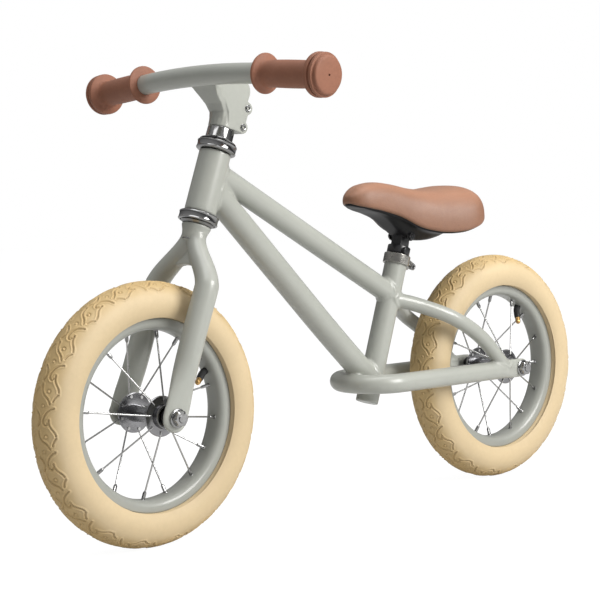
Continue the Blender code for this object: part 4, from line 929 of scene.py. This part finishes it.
def tread_depth(travel, spread, pitch):
    """How deep the tread is cut, -1 to 1, at a place along the tyre and across it, both in metres."""
    travel = np.mod(travel + np.where(spread > 0, 0.0, 0.5) * pitch, pitch) * 1000
    across = np.abs(spread) * 1000
    nearest = np.full_like(travel, 99.0)
    for sipe in SIPES:
        for a, b in smooth_rows(sipe, 7):
            for turn in (-pitch * 1000, 0.0, pitch * 1000):
                nearest = np.minimum(nearest, np.hypot(travel - a - turn, across - b))
    depth = np.exp(-((nearest / 0.85) ** 2)) - 0.5 * np.exp(-(((nearest - 1.9) / 0.9) ** 2))
    for a, b in DOTS:
        away = np.hypot(travel - a, across - b)
        depth += 0.7 * np.exp(-(((away - 2.2) / 0.7) ** 2)) - 0.8 * np.exp(-((away / 1.0) ** 2))
    return np.clip(depth, -0.8, 1.0)


def make_tyre(side, hub, sizes):
    """The casing as one skin round the wheel, its tread cut into the surface."""
    middle = sizes.tyre_radius - TYRE_SECTION
    count = sizes.tread_pitches * 64
    bead, toe, inside = RIM_HALF - 0.0018, RIM_EDGE - 0.0085, TYRE_SECTION - 0.0038
    wall, crown = np.linspace(66, 122, 12), np.linspace(-64, 64, 97)
    angles = np.radians(np.concatenate([-wall[::-1], crown, wall]))
    outer = [(middle + TYRE_SECTION * cos(a), TYRE_SECTION * sin(a), a) for a in angles]
    lip = RIM_EDGE + 0.0006
    tail = [(RIM_EDGE + 0.0030, RIM_HALF + 0.0042), (lip + 0.0006, RIM_HALF + 0.0016),
            (lip, RIM_HALF + 0.0002)]
    tail += [(lip, bead), (toe, bead), (toe, bead - 0.0034), (RIM_EDGE + 0.004, bead - 0.0034)]
    inner = [(middle + inside * cos(a), inside * sin(a)) for a in np.radians(np.linspace(120, -120, 13))]
    section = outer + [(r, y, None) for r, y in tail] + [(r, y, None) for r, y in inner]
    section += [(r, -y, None) for r, y in tail[::-1]]
    travel = np.arange(count) * (2 * pi * sizes.tyre_radius / count)
    turns = 2 * pi * np.arange(count) / count
    pitch = 2 * pi * sizes.tyre_radius / sizes.tread_pitches
    rings, cut = [], []
    for radius, y, angle in section:
        depth = np.zeros(count)
        if angle is not None and abs(angle) < radians(66):
            depth = tread_depth(travel, np.full(count, angle * TYRE_SECTION), pitch)
            radius = radius - depth * sizes.tread_depth * cos(angle)
            y = y - depth * sizes.tread_depth * sin(angle)
        x, z = hub.x - radius * np.cos(turns), hub.z + radius * np.sin(turns)
        rings.append(np.stack([x, hub.y + y + 0 * turns, z], 1))
        cut.append(np.clip(depth, 0, 1))
    shape = Shape()
    shape.points = [tuple(p) for ring in rings for p in ring]
    rows, index = len(rings), np.arange(count)
    following = (index + 1) % count
    for row in range(rows):
        one, other = row * count, (row + 1) % rows * count
        quads = np.stack([one + index, one + following, other + following, other + index], 1)
        shape.faces.extend(map(tuple, quads.tolist()))
    name = side + "_tyre"
    tyre = shape.make(name, name, side + "_wheel", "tyre_cream", name, sharp=60)
    groove = tyre.data.attributes.new("groove", "FLOAT", "POINT")
    groove.data.foreach_set("value", np.concatenate(cut).astype(np.float32))


def wheel_point(hub, angle, radius, y):
    """A point of a wheel. The angle, in degrees, runs from the rear up, seen from the left."""
    a = radians(angle)
    return hub + Vector((-radius * cos(a), y, radius * sin(a)))


def make_rim(side, hub):
    """The painted rim, turned from its half section and the mirror image of that."""
    floor = RIM_FLOOR
    half = [
        (floor, 0.0), (floor + 0.0001, 0.0050), (floor + 0.0007, 0.0088), (floor + 0.0022, 0.0121),
        (floor + 0.0048, 0.0144), (floor + 0.0078, 0.0152), (floor + 0.0112, RIM_HALF - 0.0004),
        (floor + 0.0126, RIM_HALF), (RIM_EDGE, RIM_HALF - 0.0002), (RIM_EDGE + 0.0005, RIM_HALF - 0.0008),
        (RIM_EDGE, RIM_HALF - 0.0016), (floor + 0.0090, RIM_HALF - 0.0017), (floor + 0.0050, 0.0125),
        (floor + 0.0026, 0.0080), (floor + 0.0022, 0.0),
    ]
    profile = half + [(r, -y) for r, y in half[-2:0:-1]]
    rim = Shape().lathe(profile, wheel_frame(hub), 192, closed=True)
    rim.make(side + "_rim", "rim", side + "_wheel", "rim_paint", side + "_rim", sharp=50)


def square(turn):
    """The radius of a nipple's square shank by angle, its corners eased."""
    return 0.00172 / max(abs(cos(turn)), abs(sin(turn)), 0.80)


def knurl(turn):
    return 0.0033 + 0.00012 * cos(18 * turn)


def make_spokes(side, name, hub, sign, first, sizes):
    """One flange's spokes with their elbows and heads, and the nipples that hold them in the rim."""
    wires, nipples = Shape(), Shape()
    gauge = sizes.spoke_gauge / 2
    flange = 0.0245
    for i in range(sizes.spokes):
        angle = first + 360 / sizes.spokes * i
        hole = wheel_point(hub, angle, 0.0193, sign * flange)
        end = wheel_point(hub, angle, RIM_FLOOR + 0.0006, sign * 0.0030)
        along = (end - hole).normalized()
        across = SIDEWAYS * sign
        head = hole - across * 0.0021
        path = [head, hole - across * 0.0004, hole + across * 0.0011 + along * 0.0002,
                hole + across * 0.0017 + along * 0.0016, hole + across * 0.0014 + along * 0.0040,
                end - along * 0.004]
        path = smooth_path(path, 3)
        sizes_here = [(0.0019, 0.0019), (0.0019, 0.0019)] + [(gauge, gauge)] * (len(path) - 2)
        wires.sweep(path, sizes_here, across=along.cross(across), sides=10)
        matrix = axis_frame(end, -along)
        nipples.lathe(mm(2.6, -1.2, 2.7, 0.4, 2.2, 1.2, 1.9, 1.8), matrix, 20)
        nipples.skin([circle(matrix, square, 0.0014, 20), circle(matrix, square, 0.0085, 20),
                      circle(matrix, 0.0015, 0.0100, 20), circle(matrix, gauge * 1.05, 0.0108, 20)])
    node_name = f"{side}_spokes_{name}"
    wires.make(node_name, "spoke", side + "_wheel", "zinc_steel", node_name)
    nipples.make(f"{side}_nipples_{name}", "zinc", side + "_wheel", "zinc_steel", node_name)
    face = wheel_frame(hub, sign)
    disc = Shape().lathe(
        mm(9.8, -1.2, 21.5, -1.2, 22.9, -0.8, 23, 0.4, 22.4, 1.1, 16, 1.2, 14.8, 2, 9.8, 2.2, up=flange),
        face, 72, closed=True)
    disc.make(f"{side}_flange_{name}", "dark_steel", side + "_wheel", "zinc_steel", node_name)


def make_hub(side, hub):
    """The barrel with its two bright stepped cups."""
    half = [
        *mm(9.2, 0, 9.4, 12, 10, 20, 10.4, 26.2, 12.8, 27, 13.8, 27.6, 14, 28.6, 13.6, 30, 13.9, 31.2,
            14, 33.6, 13.6, 34.7),
        (0.0130, CUP_END), (0.0118, CUP_END), (0.0117, 0.0290), (0.0075, 0.0285),
    ]
    profile = half + [(r, -y) for r, y in half[:0:-1]]
    barrel = Shape().lathe(profile, wheel_frame(hub), 72, closed=True)
    barrel.make(side + "_hub_barrel", "dark_steel", side + "_wheel", "zinc_steel", side + "_hub_barrel")


def make_valve(side, hub, angle):
    """The inner tube, hidden in the tyre, with its bent rubber stem, and the brass cap on that."""
    middle, size = TYRE_RADIUS - TYRE_SECTION, TYRE_SECTION - 0.0052
    ring = [(middle + size * cos(radians(a)), size * sin(radians(a))) for a in range(0, 360, 24)]
    tube = Shape().lathe(ring, wheel_frame(hub), 144, closed=True)
    root = wheel_point(hub, angle, RIM_FLOOR + 0.004, 0)
    inward = (hub - root).normalized()
    lean = (inward + SIDEWAYS * 0.62).normalized()
    knee = root + inward * 0.0085
    path = smooth_path([root, knee - inward * 0.003, knee + lean * 0.003, knee + lean * 0.0175], 6)
    radii = [0.0050, 0.0049, 0.0046] + [0.0042] * (len(path) - 5) + [0.0040, 0.0034]
    tube.sweep(path, [(r, r) for r in radii], across=SIDEWAYS.cross(inward), sides=28)
    name = side + "_inner_tube"
    tube.make(name, "black_rubber", side + "_wheel", "black_rubber", name)
    cap = axis_frame(path[-1], lean)
    shape = Shape().skin([circle(cap, r, h, 72) for r, h in (
        (0.0030, 0.0), (0.0034, 0.0003), (0.0034, 0.0012), (knurl, 0.0015), (knurl, 0.0058), (0.0032, 0.0064),
        (0.0027, 0.0078), (0.0018, 0.0083))])
    shape.make(side + "_valve_cap", "brass", side + "_wheel", "valve_brass", side + "_valve_cap")


WHEEL_TURNS = {"front": (25.75, -8.0), "rear": (53.75, 20.0)}  # degrees, of the valve and the first spoke


class BIKE_OT_wheels(Operator):
    """Build both wheels: tyres, rims, spokes with nipples, hubs and valves"""

    bl_idname = "bike.wheels"
    bl_label = "Wheels"

    def execute(self, context):
        sizes = context.scene.bike_sizes
        for side, hub in HUBS.items():
            valve, first = WHEEL_TURNS[side]
            make_tyre(side, hub, sizes)
            make_rim(side, hub)
            make_hub(side, hub)
            make_valve(side, hub, valve)
            for name, sign in SIDES:
                offset = 0 if sign > 0 else 180 / sizes.spokes
                make_spokes(side, name, hub, sign, first + offset, sizes)
        return {"FINISHED"}


class BIKE_OT_axles(Operator):
    """Build the threaded axles, the dust cones and the axle nuts"""

    bl_idname = "bike.axles"
    bl_label = "Axles"

    def execute(self, context):
        for side, body in (("front", "steering"), ("rear", "frame")):
            hub = HUBS[side]
            axle = Shape()
            for _, sign in SIDES:
                threaded(axle, wheel_frame(hub, sign), 0.0047, 0.0300, AXLE_END)
            axle.lathe([(0.0044, -0.0302), (0.0044, 0.0302)], wheel_frame(hub), 24)
            axle.make(side + "_axle", "zinc", body, "zinc_steel", side + "_axle")
            for name, sign in SIDES:
                face = wheel_frame(hub, sign)
                inner = LUG_FACE - 0.0093
                cone = Shape().lathe(
                    mm(5, 30.5, 6.2, 30.5, 6.3, 35.6, 9.8, 35.8, 10.2, 36.4, 10.1, 38.2, 9.4, 38.8)
                    + mm(9.3, -1.4, 8.8, 0, 5, 0, up=inner),
                    face, 48, closed=True)
                node_name = f"{side}_cone_{name}"
                cone.make(node_name, "plastic", body, "black_plastic", node_name)
                base = LUG_FACE + 0.0003
                washer = Shape().lathe(
                    mm(5, 0, 10.4, 0, 10.8, 0.3, 10.8, 1.1, 10.2, 1.6, 9.2, 1.9, 5, 1.9, up=base),
                    face, 60, closed=True)
                nut(washer, face, 0.0082, base + 0.0018, base + 0.0080, bore=0.0047)
                node_name = f"{side}_axle_nut_{name}"
                washer.make(node_name, "zinc", body, "zinc_steel", node_name)
        return {"FINISHED"}


# ---- Seat ----
class BIKE_OT_seatpost(Operator):
    """Build the seatpost with the saddle's clamp, and the collar that grips the post"""

    bl_idname = "bike.seatpost"
    bl_label = "Seatpost and clamp"

    def execute(self, context):
        sizes = context.scene.bike_sizes
        outer = sizes.seat_tube_radius
        collar = Shape().lathe(
            mm(0.3, -7.5, 2.2, -7.5, 2.6, -7, 2.6, 3, 2.7, 4.4, 2.2, 5.2, out=outer)
            + mm(13.4, 5.2, 13.1, 4.8, 13.1, 0.6) + mm(0.3, 0.4, out=outer),
            SEAT, 96, closed=True)
        rear, near = -outer - 0.0150, -outer - 0.0004
        for low, high in ((-0.0064, -0.0044), (0.0044, 0.0064)):
            corners = [(rear, -0.0052), (rear + 0.0016, -0.0076), (near - 0.0030, -0.0080), (near, -0.0064),
                       (near, 0.0028), (rear, -0.0016)]
            collar.plate([seat_point(f, 0, u) for f, u in corners], low, high)
        folded = [(rear - 0.0008, -0.0020), (near, 0.0026), (near, 0.0042), (rear - 0.0002, -0.0002)]
        collar.plate([seat_point(f, 0, u) for f, u in folded], -0.0066, 0.0066)
        collar.make("seat_collar", "satin", "frame", "collar_satin", "seat_collar", bevel=0.0005)
        bolt = Shape()
        middle = seat_point(-outer - 0.0085, 0, -0.0038)
        matrix = axis_frame(middle, SIDEWAYS, SEAT_UP)
        socket_bolt(bolt, matrix, 0.0040, 0.0066, 0.0102, 0.0020)
        nut(bolt, axis_frame(middle, -SIDEWAYS, SEAT_UP), 0.0040, 0.0066, 0.0096)
        bolt.lathe([(0.0025, -0.0108), (0.0025, 0.0066)], matrix, 24)
        bolt.make("seat_collar_bolt", "zinc", "frame", "zinc_steel", "seat_collar_bolt")
        post = Shape().lathe(
            mm(10, -105, 12.3, -105, 12.7, -104.5, 12.7, 3.4, 12.1, 4, 11.1, 4.2, 11.1, 14, 6, 14.1),
            SEAT, 72)
        post.make("seatpost", "black_steel", "seatpost", "black_steel", "seatpost")
        clamp = Shape().lathe(
            mm(11.4, 6, 14, 6, 14.6, 6.6, 14.6, 15.5, 14.1, 16.3, 6, 16.5, 6, 14.6, 11.4, 14.6),
            SEAT, 72, closed=True)
        foot = 0.0155
        turns = [radians(a) for a in range(5, 160, 9)]
        outline = [pivot_point(0.0082 * cos(a), 0, 0.0082 * sin(a)) for a in turns]
        outline = [seat_point(0.0082, 0, foot), *outline, seat_point(-0.0082, 0, foot)]
        outline = [point - UPWARD * 0.001 for point in outline]
        for low, high in ((-0.0084, -0.0030), (0.0030, 0.0084), (-0.0031, 0.0031)):
            clamp.plate(outline, low, high)
        for _, sign in SIDES:
            lobe = seat_point(0.0030 * sign, 0.0152 * sign, 0.0098)
            clamp.lathe(mm(4.4, -3, 5, -2.4, 5, 2.4, 4.4, 3), axis_frame(lobe, SIDEWAYS, SEAT_UP), 36)
        clamp.make("saddle_clamp", "black_steel", "seatpost", "black_steel", "saddle_clamp", bevel=0.0004)
        pin = Shape()
        for _, sign in SIDES:
            face = wheel_frame(PIVOT, sign)
            pin.lathe(mm(3, 15.8, 6, 15.8, 6.3, 16.2, 6, 16.7, 3, 16.8), face, 48)
            nut(pin, face, 0.0047, 0.0166, 0.0196, bore=0.0029)
            threaded(pin, face, 0.0029, 0.0100, 0.0203, pitch=0.001, depth=0.0004, sides=18)
        pin.lathe([(0.0029, -0.0110), (0.0029, 0.0110)], wheel_frame(PIVOT), 24)
        pin.make("saddle_clamp_bolt", "black_steel", "seatpost", "zinc_steel", "saddle_clamp_bolt")
        return {"FINISHED"}


# Along the saddle from its nose, in mm: forward of the bolt, half width, top and underside above the bolt
SADDLE = (
    (95.8, 3.5, 49.7, 45.8), (95, 7, 52.5, 44.2), (92.8, 11.2, 55.5, 42.8), (88.5, 15.8, 59.5, 41.2),
    (82, 19.6, 64, 39.6), (73.2, 22.5, 67.3, 37.6), (53.2, 26, 69.7, 33.2), (27.2, 31.5, 66.7, 25),
    (-0.8, 40.5, 61.1, 10.8), (-28.8, 52, 58.9, 4.4), (-55.8, 62, 61.1, 4.6), (-78.8, 64.8, 62.8, 9.8),
    (-94, 59, 60.4, 15.6), (-103.5, 48, 55.8, 20.6), (-109.2, 35, 50.8, 25), (-112.4, 21, 45.8, 29),
    (-113.6, 8, 42.2, 32),
)
# The base's keel, in mm: forward of the bolt, lowest height above it
KEEL = (
    (95, 43.6), (73.2, 35.2), (53.2, 29.6), (38.2, 22.6), (18.2, 8.5), (-1.8, -4),
    (-26.8, -6.6), (-48.8, -4), (-64.8, 1), (-80, 6), (-98, 13), (-112, 24),
)


class BIKE_OT_saddle(Operator):
    """Build the saddle: the padded leather-look cover and the black base under it"""

    bl_idname = "bike.saddle"
    bl_label = "Saddle"

    def execute(self, context):
        rows = smooth_rows(np.array(SADDLE) / 1000, 5)
        cover = Shape()
        rings = []
        for x, half, top, bottom in rows:
            height = top - bottom
            roll = min(0.0045, height * 0.3)
            ring = []
            for i in range(49):
                a = pi * i / 48
                y = half * (1 if cos(a) >= 0 else -1) * abs(cos(a)) ** 0.74
                z = bottom + roll + (height - roll) * sin(a) ** 0.80
                ring.append(pivot_point(x, y, z))
            corner = []
            for i in range(1, 6):
                a = pi / 2 * i / 5
                corner.append((half - roll * 0.75 * (1 - cos(a)), bottom + roll * (1 - sin(a))))
            ring += [pivot_point(x, -y, z) for y, z in corner]
            inset = max(half - roll * 0.75, half * 0.2)
            ring += [pivot_point(x, inset * share, bottom + 0.0004) for share in (-0.6, 0, 0.6)]
            ring += [pivot_point(x, y, z) for y, z in corner[::-1]]
            rings.append(ring)
        cover.skin(rings)
        piece = cover.make("saddle_cover", "leather", "saddle", "saddle_leather", "saddle_cover", sharp=70)
        keel = smooth_rows(np.array(KEEL) / 1000, 4)[::-1]
        keel_x, keel_z = np.transpose(keel)
        base = Shape()
        rings = []
        for x, half, _, bottom in rows[8:-8]:
            lip = max(half - 0.0036, 0.001)
            low = bottom - 0.0018
            deep = min(low, float(np.interp(x, keel_x, keel_z)))
            ring = []
            for i in range(33):
                y = lip * (1 - 2 * i / 32)
                away = min(1.0, max(0.0, (abs(y) - 0.0105) / 0.0165))
                fall = 1 - away * away * (3 - 2 * away)
                edge = min(1.0, (lip - abs(y)) / 0.0020)
                z = low + (deep - low) * fall + 0.0036 * (1 - edge)
                ring.append(pivot_point(x, y, z))
            ring += [pivot_point(x, y, bottom - 0.0003) for y in (-lip, lip)]
            rings.append(ring)
        base.skin(rings)
        base.make("saddle_base", "plastic", "saddle", "black_plastic", "saddle_base", sharp=50)
        return {"FINISHED"}


class BIKE_OT_inner_parts(Operator):
    """Give the bearings, the crown race and the steerer, which stay as the CAD has them, their finishes"""

    bl_idname = "bike.inner_parts"
    bl_label = "Inner parts"

    def execute(self, context):
        kept = ["headset_lower_bearing", "headset_upper_bearing", "crown_race", "fork_steerer"]
        kept += [f"{side}_bearing_{name}" for side in HUBS for name, _ in SIDES]
        for name in kept:
            obj = frame["nodes"][name]
            finish = look("zinc" if name == "fork_steerer" else "bearing")
            for slot in obj.material_slots:
                slot.material = finish
            if not obj.material_slots:
                obj.data.materials.append(finish)
        return {"FINISHED"}


# ---- Stage ----
def area_light(name, place, target, size, power, colour):
    data = bpy.data.lights.new(name, "AREA")
    data.shape, data.size, data.size_y = "RECTANGLE", size[0], size[1]
    data.energy, data.color = power, colour
    obj = bpy.data.objects.new(name, data)
    obj.matrix_world = axis_frame(Vector(place), Vector(place) - Vector(target), FORWARD)
    bpy.context.scene.collection.objects.link(obj)


CAMERA_PLACE = (1.457, 1.5024, 0.4067)
CAMERA_TURNS = (0.75, 0.0701, -0.0266)  # yaw, pitch down and roll, in radians


class BIKE_OT_stage(Operator):
    """Set the stage: a pale floor, soft studio light and the camera"""

    bl_idname = "bike.stage"
    bl_label = "Stage"

    def execute(self, context):
        scene = context.scene
        turns = [2 * pi * i / 96 for i in range(96)]
        floor = bpy.data.objects.new("floor", bpy.data.meshes.new("floor"))
        floor.data.from_pydata([(9 * cos(t), 9 * sin(t), 0) for t in turns], [], [tuple(range(96))])
        scene.collection.objects.link(floor)
        material = bpy.data.materials.new("studio_floor")
        material.use_nodes = True
        tree = material.node_tree
        shader = tree.nodes["Principled BSDF"]
        shader.inputs["Roughness"].default_value = 0.9
        noise = node(tree, "ShaderNodeTexNoise", {"Scale": 3.0})
        pale = mix(tree, noise.outputs[0], (0.62, 0.62, 0.62, 1), (0.66, 0.66, 0.66, 1))
        tree.links.new(pale, shader.inputs["Base Color"])
        # The camera sees the floor glow nearly white; to light and reflections it stays a pale matt floor
        glow = node(tree, "ShaderNodeEmission", {"Color": (1, 1, 1, 1), "Strength": 1.12})
        seen = node(tree, "ShaderNodeLightPath").outputs["Is Camera Ray"]
        share = math(tree, "MULTIPLY", seen, 0.86)
        blend = node(tree, "ShaderNodeMixShader", {0: share, 1: shader.outputs[0]})
        tree.links.new(glow.outputs[0], blend.inputs[2])
        tree.links.new(blend.outputs[0], tree.nodes["Material Output"].inputs["Surface"])
        floor.data.materials.append(material)
        world = bpy.data.worlds.new("studio")
        scene.world = world
        world.use_nodes = True
        tree = world.node_tree
        back = tree.nodes["Background"]
        place = node(tree, "ShaderNodeTexCoord").outputs["Generated"]
        height = node(tree, "ShaderNodeSeparateXYZ", {0: place}).outputs[2]
        # A soft sky, dark below, lights the bike; the camera sees plain white in its place
        soft = mix(tree, ramp(tree, height, -0.05, 0.75), (0.050, 0.050, 0.052, 1), (0.50, 0.50, 0.50, 1))
        seen = node(tree, "ShaderNodeLightPath").outputs["Is Camera Ray"]
        tree.links.new(mix(tree, seen, soft, (1.0, 1.0, 1.0, 1)), back.inputs["Color"])
        area_light("key", (-0.9, 2.5, 1.7), (0.0, 0.0, 0.3), (1.5, 1.7), 98, (1.0, 0.99, 0.97))
        area_light("top", (0.1, 0.2, 2.6), (0.0, 0.0, 0.2), (2.4, 1.6), 34, (1.0, 1.0, 1.0))
        data = bpy.data.cameras.new("camera")
        data.lens = scene.bike_sizes.focal_length
        data.sensor_width = 36
        data.clip_end = 60
        camera = bpy.data.objects.new("camera", data)
        yaw, pitch, roll = CAMERA_TURNS
        ahead = Vector((-sin(yaw) * cos(pitch), -cos(yaw) * cos(pitch), -sin(pitch)))
        right = ahead.cross(UPWARD).normalized()
        above = right.cross(ahead)
        tilted = right * cos(roll) + above * sin(roll)
        upright = above * cos(roll) - right * sin(roll)
        camera.matrix_world = Matrix((tilted, upright, -ahead)).transposed().to_4x4()
        camera.location = CAMERA_PLACE
        scene.collection.objects.link(camera)
        scene.camera = camera
        scene.view_settings.view_transform = "Standard"
        return {"FINISHED"}


class BIKE_PT_panel(Panel):
    """Lists the bike's sizes, colours and pieces"""

    bl_idname = "BIKE_PT_panel"
    bl_label = "Balance bike"
    bl_space_type = "VIEW_3D"
    bl_region_type = "UI"
    bl_category = "Balance bike"

    def draw(self, context):
        for group in (context.scene.bike_sizes, context.scene.bike_colours):
            column = self.layout.column(align=True)
            for name in group.__annotations__:
                column.prop(group, name)
        for operator in OPERATORS:
            self.layout.operator(operator.bl_idname)


OPERATORS = (
    BIKE_OT_stage, BIKE_OT_frame, BIKE_OT_fork, BIKE_OT_headset, BIKE_OT_stem, BIKE_OT_handlebar,
    BIKE_OT_wheels, BIKE_OT_axles, BIKE_OT_seatpost, BIKE_OT_saddle, BIKE_OT_inner_parts,
)
CLASSES = (BIKE_PG_sizes, BIKE_PG_colours, *OPERATORS, BIKE_PT_panel)


def register():
    for each in CLASSES:
        bpy.utils.register_class(each)
    bpy.types.Scene.bike_sizes = PointerProperty(type=BIKE_PG_sizes)
    bpy.types.Scene.bike_colours = PointerProperty(type=BIKE_PG_colours)


def unregister():
    del bpy.types.Scene.bike_colours
    del bpy.types.Scene.bike_sizes
    for each in reversed(CLASSES):
        bpy.utils.unregister_class(each)


def main():
    """Registers the classes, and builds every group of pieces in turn."""
    register()
    for operator in OPERATORS:
        group, name = operator.bl_idname.split(".")
        getattr(getattr(bpy.ops, group), name)()


if __name__ == "__main__":
    main()
